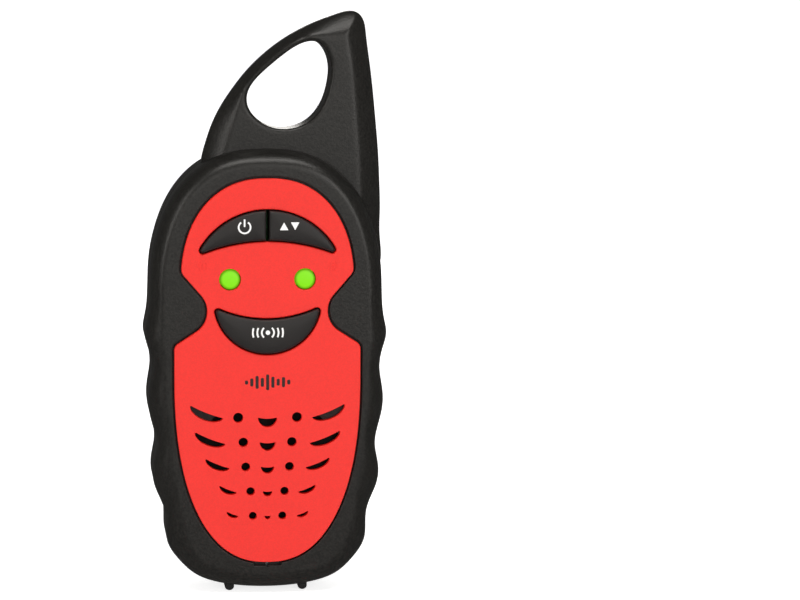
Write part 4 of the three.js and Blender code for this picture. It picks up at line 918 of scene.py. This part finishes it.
class HANDSET_OT_rear_shell(bpy.types.Operator):
    """Back, battery bay, screw wells, clip lugs and the fin's rear half, as one moulding"""

    bl_idname = "handset.rear_shell"
    bl_label = "Rear shell"

    def execute(self, context):
        s = layout()
        wall = s.case_wall
        bay = bay_sizes(s)
        hollow = prism(resampled(grown(s.outline, -wall), 320), s.rear_seam - MM, s.back - s.edge_depth)
        outer = carved(case_half(s, s.back, s.rear_seam), joins=[fin_half(s, False)])
        shell = carved(outer.copy(), cuts=[hollow, fin_hollow(s, s.rear_seam - MM, s.rear_seam + 3.3 * MM)])
        bosses = [prism(circle_at(n, BOSS_RADIUS), s.rear_seam + 0.05 * MM, s.back - 0.5 * MM) for n in CASE_SCREWS]
        screw_boss = block((-4 * MM, 4 * MM), (bay.ledge - 6 * MM, bay.ledge), (bay.tongue, bay.outer_z[0] + MM))
        ledge = prism(cover_outline(s, 1.8 * MM), bay.ledge - 1.6 * MM, s.back - 0.05 * MM)
        inside = carved(
            block(bay.outer_x, (bay.front - bay.wall, s.back - 0.1 * MM), bay.outer_z),
            joins=[*bosses, ledge, screw_boss],
            overlaps=[outer],
        )
        lugs = [hinge_eye(s, side, 5.5 * MM, 7.5 * MM, 1.7 * MM, s.back - MM) for side in (-1, 1)]
        wells = []
        for node in CASE_SCREWS:
            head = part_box(node)[1].y - SCREW_HEAD
            wells.append(opening_behind(circle_at(node, WELL_RADIUS), head, s.back, 0.3 * MM))
            wells.append(prism(circle_at(node, SHANK_HOLE), s.rear_seam - MM, head + MM))
        cuts = [
            prism(rectangle(*bay.inner_x, *bay.inner_z, 0.8 * MM), bay.front, s.back + MM),
            opening_behind(cover_outline(s, 0.3 * MM), bay.ledge, s.back, 0.15 * MM),
            prism(circle_at("cover_screw", SHANK_HOLE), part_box("cover_screw")[0].y - 0.3 * MM, s.back + MM),
            rod_x(PIN_HOLE, -8 * MM, 8 * MM, s.pin.y, s.pin.z),
            *wells,
            *foot_slots(s, ("rear_left_foot", "rear_right_foot")),
        ]
        mesh = carved(shell, joins=[inside, *lugs], cuts=cuts)
        place("rear_shell_moulding", mesh, FINISHES["casing"], "case", ["rear_shell"], 24)
        return {"FINISHED"}


def hinge_eye(s, side, near, far, radius, root):
    """A round eye on the clip's pin, and the web that carries it from the depth `root`."""
    x = sorted((side * near, side * far))
    web = block(x, (root, s.pin.y), (s.pin.z - radius, s.pin.z + radius))
    return carved(web, joins=[rod_x(radius, *x, s.pin.y, s.pin.z, 0.2 * MM)])


def bay_sizes(s):
    """The battery bay, worked out from the cells, the contacts and the cover."""
    cells = [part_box(n) for n in ("left_cell", "right_cell")]
    contacts = [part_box(n) for n in ("lower_contact", "upper_contact")]
    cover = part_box("battery_cover")
    gap, wall = 0.3 * MM, 1.2 * MM
    half = cells[1][1].x + 2 * gap
    inner_z = (contacts[0][0].z - gap, contacts[1][1].z + gap)
    return SimpleNamespace(
        wall=wall,
        inner_x=(-half, half),
        outer_x=(-half - wall, half + wall),
        inner_z=inner_z,
        outer_z=(inner_z[0] - wall, inner_z[1] + wall),
        front=cells[0][0].y - gap,
        ledge=cover[0].y - gap,
        tongue=cover[0].z,
    )


def cover_outline(s, grow=0.0):
    """The cover: a rectangle with a tongue below it for its screw."""
    bay = bay_sizes(s)
    w, t, r = bay.outer_x[1] + grow, 4.6 * MM + grow, 2.0 * MM + grow
    top, shoulder, bottom = bay.outer_z[1] + grow, bay.outer_z[0] - grow, bay.tongue - grow
    quarter = math.pi / 2
    half = np.vstack(
        [
            [(0, top)],
            arc(w - r, top - r, r, quarter, 0, 10),
            arc(w - r, shoulder + r, r, 0, -quarter, 10),
            [(t, shoulder)],
            arc(t - r, bottom + r, r, 0, -quarter, 10),
            [(0, bottom)],
        ]
    )
    return mirrored(half)


# ---------------------------------------------------------------- face plate


class HANDSET_OT_face_plate(bpy.types.Operator):
    """Red face plate with its key, lamp and grille openings"""

    bl_idname = "handset.face_plate"
    bl_label = "Face plate"

    def execute(self, context):
        s = layout()
        back = s.plate_back + MM
        holes = [(crescent(shape, s), 0.35) for shape in (UPPER_OPENING, LOWER_OPENING)]
        holes += [(circle_at(node, 2.65 * MM, 72), 0.15) for node in ("left_lamp", "right_lamp")]
        for index, row in enumerate(GRILLE_ROWS):
            z = s.waist + GRILLE_LEVEL - index * GRILLE_PITCH
            holes.append((slot(0, z, row.smile[0] * MM, row.smile[1] * MM), 0.1))
            for side in (-1, 1):
                holes.append((circle(side * row.dot_x * MM, z, row.dot * MM), 0.12))
                holes.append((wing(s, index, side), 0.1))
        cuts = [opening(outline, s.plate_front, back, flare * MM) for outline, flare in holes]
        mesh = carved(prism(s.plate, s.plate_front, s.plate_back, 0.3 * MM, 0.15 * MM), cuts=[sum(cuts[1:], cuts[0])])
        place("face_plate_moulding", mesh, FINISHES["face"], "case", ["face_plate"], 24)
        return {"FINISHED"}


# ---------------------------------------------------------------- keys


def pillow(outline, crown, rounding, front, back):
    """A cap whose face stands up by `crown` in the middle and rolls off at its edge.

    height = depth - rounding (1 - sqrt(1 - (1 - u)^2)) - crown (1 - w)^2, with u and w the distance
    in over the rounding and over `reach`.
    """
    depth = back - front
    reach = 3.2 * MM

    def height(points, distances):
        u = np.clip(distances[0] / rounding, 0, 1)
        w = np.clip(distances[0] / reach, 0, 1)
        return depth - rounding * (1 - np.sqrt(1 - (1 - u) ** 2)) - crown * (1 - w) ** 2

    near = np.array([0.04, 0.1, 0.2, 0.35, 0.55]) * MM
    return relief(outline, [], 0.55 * MM, near, height).moved((0, back, 0))


class HANDSET_OT_keys(bpy.types.Operator):
    """Power, channel and talk keys, each with its flange and the post that presses its switch"""

    bl_idname = "handset.keys"
    bl_label = "Keys"

    def execute(self, context):
        s = layout()
        for name, opening_shape, side in (
            ("power", UPPER_OPENING, -1),
            ("channel", UPPER_OPENING, 1),
            ("talk", LOWER_OPENING, 0),
        ):
            low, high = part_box(f"{name}_key")
            cap = crescent(opening_shape, s, -s.key_clearance)
            flange = crescent(opening_shape, s, 0.8 * MM)
            flange_front, flange_back = s.floor_back + 0.3 * MM, s.floor_back + 1.3 * MM
            if side:
                cap, flange = (self.half(outline, side, 0.375 * MM) for outline in (cap, flange))
            plunger = box_centre(f"{name}_switch_plunger")
            body = pillow(cap, s.key_crown, 0.5 * MM, low.y, flange_back - 0.2 * MM)
            joins = [
                prism(flange, flange_front, flange_back, 0.1 * MM, 0.1 * MM),
                prism(circle(plunger.x, plunger.z, 1.6 * MM), flange_front + 0.1 * MM, high.y),
            ]
            mesh = carved(body, joins=joins)
            place(f"{name}_key_cap", mesh, FINISHES["keys"], f"{name}_key", [f"{name}_key"], 24)
        return {"FINISHED"}

    def half(self, outline, side, gap):
        """The part of an outline on one side of the middle, closed by a straight cut at x = gap."""
        kept = outline[outline[:, 0] * side > gap]
        turn = np.flatnonzero(np.abs(np.diff(kept[:, 1])) > 4 * MM)
        if len(turn):
            kept = np.roll(kept, -(turn[0] + 1), axis=0)
        ends = np.array([[side * gap, kept[-1, 1]], [side * gap, kept[0, 1]]])
        return resampled(np.vstack([kept, ends]), 220)


def ring(x, z, radius, width, start, end, count=40):
    """Part of a flat ring between two angles, anticlockwise."""
    outer = arc(x, z, radius + width / 2, start, end, count)
    return np.vstack([outer, arc(x, z, radius - width / 2, end, start, count)])


class HANDSET_OT_print(bpy.types.Operator):
    """Generic symbols: power, up and down, talking, and a row of sound bars on the plate"""

    bl_idname = "handset.print"
    bl_label = "Printed symbols"

    def execute(self, context):
        s = layout()
        key_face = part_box("power_key")[0].y
        full = 2 * math.pi
        stroke = 0.42 * MM
        x, z = -5.7 * MM, s.waist + 20.7 * MM
        self.printed(
            "power_symbol", "power_key", "print_light", key_face,
            [ring(x, z, 1.45 * MM, stroke, math.radians(125), math.radians(415)),
             rectangle(x - stroke / 2, x + stroke / 2, z + 0.1 * MM, z + 1.95 * MM, 0.12 * MM)],
        )  # fmt: skip
        x, z = 5.3 * MM, s.waist + 20.9 * MM
        up = np.array([(-1.05, -0.95), (1.05, -0.95), (0, 0.95)]) * MM
        self.printed(
            "channel_symbol", "channel_key", "print_light", key_face,
            [averaged(triangle, 0.12 * MM, 60)[::4]
             for triangle in (up + (x - 1.35 * MM, z), up[::-1] * (1, -1) + (x + 1.35 * MM, z))],
        )  # fmt: skip
        x, z = 0.0, s.waist - 5.2 * MM
        waves = [circle(x, z, 0.55 * MM, 32)]
        for radius in (1.5, 2.6, 3.7):
            for middle in (0, math.pi):
                spread = math.asin(min(0.95, 1.15 / radius))
                waves.append(ring(x, z, radius * MM, stroke, middle - spread, middle + spread))
        self.printed("talk_symbol", "talk_key", "print_light", key_face, waves)
        z = s.waist - 17.6 * MM
        bars = []
        for k, height in enumerate((1.0, 2.0, 3.2, 2.2, 3.9, 2.7, 1.7, 2.5, 1.2)):
            x = (k - 4) * 1.3 * MM
            bars.append(rectangle(x - 0.38 * MM, x + 0.38 * MM, z - height * MM / 2, z + height * MM / 2, 0.3 * MM))
        self.printed("sound_bars", "case", "print_dark", s.plate_front, bars)
        self.embossed(s)
        return {"FINISHED"}

    def slabs(self, name, body, finish, front, back, outlines, rim=0.0):
        """Thin slabs over the given outlines, as one piece."""
        parts = [prism(outline, front, back, rim) for outline in outlines]
        place(name, sum(parts[1:], parts[0]), FINISHES[finish], body)

    def printed(self, name, body, finish, face, outlines):
        """Paint that stands 0.02 mm proud of the face."""
        self.slabs(name, body, finish, face - 0.02 * MM, face + 0.12 * MM, outlines)

    def embossed(self, s):
        """Faint raised marks beside the lamps, in the plate's own colour."""
        for name, side in (("left_emboss", -1), ("right_emboss", 1)):
            x, z = side * 15.2 * MM, s.waist + 10.9 * MM
            marks = [rectangle(x - 0.14 * MM, x + 0.14 * MM, z - 0.9 * MM, z + 0.9 * MM, 0.12 * MM)]
            for radius in (1.0, 1.7):
                middle = 0 if side > 0 else math.pi
                marks.append(ring(x, z, radius * MM, 0.24 * MM, middle - 0.8, middle + 0.8, 16))
            self.slabs(name, "case", "face", s.plate_front - 0.08 * MM, s.plate_front + 0.2 * MM, marks, 0.05 * MM)

# ---------------------------------------------------------------- lamps, feet, cover and clip


class HANDSET_OT_lamps(bpy.types.Operator):
    """Two green lamps, each a flat dome on a collar"""

    bl_idname = "handset.lamps"
    bl_label = "Lamps"

    def execute(self, context):
        for node in ("left_lamp", "right_lamp"):
            low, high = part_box(node)
            centre = (low + high) / 2
            t = np.linspace(0, math.pi / 2, 14)
            radius, collar = 2.46 * MM, (high.x - low.x) / 2
            dome = np.stack([radius * np.sin(t), low.y + 0.5 * MM * (1 - np.cos(t))], axis=1)
            base = [(radius, high.y - 1.6 * MM), (collar, high.y - 1.6 * MM), (collar, high.y), (0, high.y)]
            place(f"{node}_lens", lathe(np.vstack([dome, base]), centre.x, centre.z), FINISHES["lamp"], "case",
                  [node], 40)  # fmt: skip
        return {"FINISHED"}


class HANDSET_OT_feet(bpy.types.Operator):
    """Four rubber feet with rounded soles"""

    bl_idname = "handset.feet"
    bl_label = "Feet"

    def execute(self, context):
        for side in ("left", "right"):
            for end in ("front", "rear"):
                node = f"{end}_{side}_foot"
                low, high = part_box(node)
                half = (high.x - low.x) / 2
                middle = (low.x + high.x) / 2
                sole = np.vstack(
                    [
                        arc(middle, low.z + half * 0.85, half, math.pi, 2 * math.pi, 25),
                        [(high.x, high.z), (low.x, high.z)],
                    ]
                )
                sole[:25, 1] = low.z + (sole[:25, 1] - (low.z - 0.15 * half)) * 0.85
                place(f"{node}_rubber", prism(resampled(sole, 120), low.y, high.y, 0.45 * MM, 0.45 * MM),
                      FINISHES["rubber"], "case", [node], 40)  # fmt: skip
        return {"FINISHED"}


class HANDSET_OT_battery_cover(bpy.types.Operator):
    """Battery cover with rounded edges, finger ribs and a well for its screw"""

    bl_idname = "handset.battery_cover"
    bl_label = "Battery cover"

    def execute(self, context):
        s = layout()
        low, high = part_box("battery_cover")
        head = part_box("cover_screw")[1].y - SCREW_HEAD
        ribs = []
        for k in range(5):
            z = high.z - (7.5 + 1.7 * k) * MM
            half = (7.0 - abs(k - 2) * 1.1) * MM
            ribs.append(prism(rectangle(-half, half, z - 0.35 * MM, z + 0.35 * MM, 0.34 * MM), high.y - 0.35 * MM,
                              high.y + MM))  # fmt: skip
        bay, inset, line = bay_sizes(s), 2.6 * MM, 0.5 * MM
        w, bottom, top = bay.outer_x[1] - inset, bay.outer_z[0] + inset, bay.outer_z[1] - inset
        island = prism(rectangle(line - w, w - line, bottom + line, top - line, MM), high.y - MM, high.y + 2 * MM)
        groove = carved(prism(rectangle(-w, w, bottom, top, 1.5 * MM), high.y - 0.25 * MM, high.y + MM), cuts=[island])
        cuts = [
            prism(circle_at("cover_screw", 1.6 * MM), low.y - MM, high.y + MM),
            opening_behind(circle_at("cover_screw", WELL_RADIUS), head, high.y, 0.25 * MM),
            groove,
            *ribs,
        ]
        mesh = carved(prism(cover_outline(s), low.y, high.y, 0.1 * MM, 0.3 * MM), cuts=cuts)
        place("battery_cover_moulding", mesh, FINISHES["casing"], "battery_cover", ["battery_cover"], 28)
        return {"FINISHED"}


class HANDSET_OT_belt_clip(bpy.types.Operator):
    """Belt clip: a rounded plate on two knuckles, with a hooked end and thumb ribs"""

    bl_idname = "handset.belt_clip"
    bl_label = "Belt clip"

    def execute(self, context):
        s = layout()
        low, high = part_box("belt_clip")
        half, bottom, top = high.x, low.z, high.z
        front = high.y - 1.8 * MM
        quarter = math.pi / 2
        side = [
            [(0, top)],
            arc(half - 3 * MM, top - 3 * MM, 3 * MM, quarter, 0, 12),
            arc(half - 5 * MM, bottom + 5 * MM, 5 * MM, 0, -quarter, 16),
            [(0, bottom)],
        ]
        face = resampled(mirrored(np.vstack(side)), 240)
        hook_front = front - 3.0 * MM
        hook = rectangle(3.5 * MM - half, half - 3.5 * MM, bottom + 1.2 * MM, bottom + 3.4 * MM, 0.8 * MM)
        joins = [prism(hook, hook_front, front + 0.5 * MM, 0.5 * MM)]
        joins += [hinge_eye(s, side, 2.6 * MM, 5.2 * MM, 1.9 * MM, front + 0.5 * MM) for side in (-1, 1)]
        ribs = [
            prism(rectangle(-5.5 * MM, 5.5 * MM, top - (1.7 + 1.5 * k) * MM, top - (1.1 + 1.5 * k) * MM, 0.28 * MM),
                  high.y - 0.35 * MM, high.y + MM)
            for k in range(4)
        ]  # fmt: skip
        panel = grown(face, -2.2 * MM)
        inset = prism(panel[panel[:, 1] < s.pin.z - 3 * MM], high.y - 0.3 * MM, high.y + MM)
        body = prism(face, front, high.y, 0.35 * MM, 0.6 * MM)
        mesh = carved(body, joins=joins, cuts=[rod_x(PIN_HOLE, -half, half, s.pin.y, s.pin.z), *ribs, inset])
        place("belt_clip_moulding", mesh, FINISHES["casing"], "belt_clip", ["belt_clip"], 28)
        return {"FINISHED"}


FINISHES = {}


def make_finishes():
    """The materials, from the colours the user set."""
    c = bpy.context.scene.handset_colours
    FINISHES.update(
        casing=moulded("black_moulding", c.casing, 0.34, grain=0.05 * MM, cell=0.5 * MM, flecks=2.5),
        face=moulded("red_moulding", c.face, 0.5, grain=0.006 * MM, cell=0.35 * MM, variation=0.04),
        keys=moulded("charcoal_keys", c.keys, 0.5, grain=0.014 * MM, cell=0.28 * MM, variation=0.15),
        rubber=moulded("black_rubber", (0.012, 0.012, 0.012), 0.75),
        switch=moulded("switch_moulding", (0.02, 0.02, 0.022), 0.45),
        chip=moulded("chip_moulding", (0.01, 0.01, 0.012), 0.4),
        cone=moulded("paper_cone", (0.02, 0.02, 0.02), 0.8, grain=0.05 * MM, cell=0.6 * MM),
        cell=moulded("cell_sleeve", (0.03, 0.16, 0.5), 0.25, grain=0.002 * MM, coat=0.4),
        red_wire=moulded("red_insulation", (0.55, 0.02, 0.01), 0.4),
        black_wire=moulded("black_insulation", (0.01, 0.01, 0.01), 0.4),
        white_wire=moulded("white_insulation", (0.7, 0.7, 0.68), 0.4),
        print_light=moulded("white_print", c.print_light, 0.5, grain=0.003 * MM, variation=0.02),
        print_dark=moulded("dark_print", c.print_dark, 0.5, grain=0.003 * MM, variation=0.05),
        lamp=lit_lens("green_lamp", c.lamp, 1.0, box_centre("right_lamp")),
        steel=metal("plated_steel", (0.6, 0.61, 0.63), 0.28),
        brass=metal("brass_contact", (0.78, 0.58, 0.24), 0.3),
        copper=metal("copper_wire", (0.8, 0.4, 0.22), 0.3),
        cloth=weave("dust_cloth", (0.012, 0.012, 0.012), 0.5 * MM),
        board=board_finish("solder_mask", (0.01, 0.12, 0.04), (0.03, 0.24, 0.08)),
    )


class HANDSET_OT_carried_over(bpy.types.Operator):
    """Finishes for the frame's own pieces that keep their shape"""

    bl_idname = "handset.carried_over"
    bl_label = "Frame's own pieces"

    def execute(self, context):
        slots = {part["node"]: part["material_slot"] for part in frame["record"]["subparts"]}
        for name, node in frame["nodes"].items():
            node.data.materials.clear()
            node.data.materials.append(FINISHES[slots[name]])
        return {"FINISHED"}


# ---------------------------------------------------------------- stage


class HANDSET_OT_stage(bpy.types.Operator):
    """Pale floor that curves up behind, soft lights and the camera"""

    bl_idname = "handset.stage"
    bl_label = "Stage"

    def execute(self, context):
        scene = context.scene
        colours = scene.handset_colours
        self.sweep(colours.floor)
        self.lights(scene)
        self.camera(scene)
        return {"FINISHED"}

    def sweep(self, floor_colour):
        """A floor that turns up into a wall along a quarter circle: y, z follow that profile, x is across."""
        radius, reach, width, top = 0.6, 1.6, 6.0, 3.0
        angle = np.linspace(0, math.pi / 2, 24)
        y = np.concatenate([[-4.0, reach], reach + radius * np.sin(angle), [reach + radius]])
        z = np.concatenate([[0, 0], radius * (1 - np.cos(angle)), [top]])
        x = np.linspace(-width / 2, width / 2, 3)
        points = np.stack(np.broadcast_arrays(x[None, :], y[:, None], z[:, None]), axis=-1)
        mesh = Surface(points, grid(points)[:, ::-1]).mesh("floor")
        shader = Shader("studio_floor", Roughness=0.8, Emission_Color=rgb(floor_colour), Emission_Strength=0.85)
        tone = shader.noise(3.0)
        shader.set("Base Color", shader.mix(tone, rgb(floor_colour), rgb(floor_colour, 1.02)))
        mesh.materials.append(shader.material)
        mesh.shade_smooth()
        floor = bpy.data.objects.new("floor", mesh)
        bpy.context.scene.collection.objects.link(floor)
        floor.visible_glossy = False

    def lights(self, scene):
        """A dim room with soft lights in front, above and on both sides, and a low one behind the fin's loop."""
        world = bpy.data.worlds.new("studio")
        world.use_nodes = True
        background = world.node_tree.nodes["Background"]
        background.inputs["Color"].default_value = (1, 1, 1, 1)
        background.inputs["Strength"].default_value = 0.05
        scene.world = world
        scene.view_settings.view_transform = "Standard"
        target = Vector((0, 0, 0.07))
        for name, place_at, width, height, power in (
            ("front_light", (-0.05, -1.5, 0.35), 1.3, 0.9, 3.7),
            ("top_light", (0.05, -0.5, 1.15), 1.0, 0.5, 6.5),
            ("right_light", (0.6, -1.15, 0.4), 0.15, 0.8, 2.6),
            ("left_light", (-0.95, -0.75, 0.45), 0.3, 0.8, 2.4),
            ("back_light", (0.14, 0.8, 0.27), 0.25, 0.2, 0.7),
        ):
            light = bpy.data.lights.new(name, "AREA")
            light.shape = "RECTANGLE"
            light.size, light.size_y = width, height
            light.energy = power
            light.color = (1.0, 0.972, 0.93)
            lamp = bpy.data.objects.new(name, light)
            lamp.location = place_at
            lamp.rotation_euler = (target - Vector(place_at)).to_track_quat("-Z", "Y").to_euler()
            scene.collection.objects.link(lamp)

    def camera(self, scene):
        """A camera a little above and to the left of the handset, which stands left of the middle."""
        azimuth, elevation = math.radians(-4.2), math.radians(7)
        distance, view_width, shift = 0.75, 0.2, 0.1715
        target = Vector((0, 0, 0.0715))
        level = math.cos(elevation)
        towards = Vector((math.sin(azimuth) * level, -math.cos(azimuth) * level, math.sin(elevation)))
        data = bpy.data.cameras.new("camera")
        camera = bpy.data.objects.new("camera", data)
        scene.collection.objects.link(camera)
        camera.location = target + towards * distance
        camera.rotation_euler = (-towards).to_track_quat("-Z", "Y").to_euler()
        data.sensor_width = 36.0
        data.lens = data.sensor_width * distance / view_width
        data.shift_x = shift
        scene.camera = camera


# ---------------------------------------------------------------- add-on

OPERATORS = [
    HANDSET_OT_carried_over,
    HANDSET_OT_front_shell,
    HANDSET_OT_rear_shell,
    HANDSET_OT_face_plate,
    HANDSET_OT_keys,
    HANDSET_OT_print,
    HANDSET_OT_lamps,
    HANDSET_OT_feet,
    HANDSET_OT_battery_cover,
    HANDSET_OT_belt_clip,
    HANDSET_OT_stage,
]


class HANDSET_PT_panel(bpy.types.Panel):
    """The handset's operators, sizes and colours"""

    bl_idname = "HANDSET_PT_panel"
    bl_label = "Toy walkie talkie"
    bl_space_type = "VIEW_3D"
    bl_region_type = "UI"
    bl_category = "Handset"

    def draw(self, context):
        for operator in OPERATORS:
            self.layout.operator(operator.bl_idname)
        for group in (context.scene.handset_sizes, context.scene.handset_colours):
            box = self.layout.box()
            for name in group.__annotations__:
                box.prop(group, name)


CLASSES = [HandsetSizes, HandsetColours, *OPERATORS, HANDSET_PT_panel]


def register():
    for cls in CLASSES:
        bpy.utils.register_class(cls)
    bpy.types.Scene.handset_sizes = bpy.props.PointerProperty(type=HandsetSizes)
    bpy.types.Scene.handset_colours = bpy.props.PointerProperty(type=HandsetColours)


def unregister():
    del bpy.types.Scene.handset_colours
    del bpy.types.Scene.handset_sizes
    for cls in reversed(CLASSES):
        bpy.utils.unregister_class(cls)


def main():
    register()
    make_finishes()
    for operator in OPERATORS:
        family, name = operator.bl_idname.split(".")
        getattr(getattr(bpy.ops, family), name)()


if __name__ == "__main__":
    main()
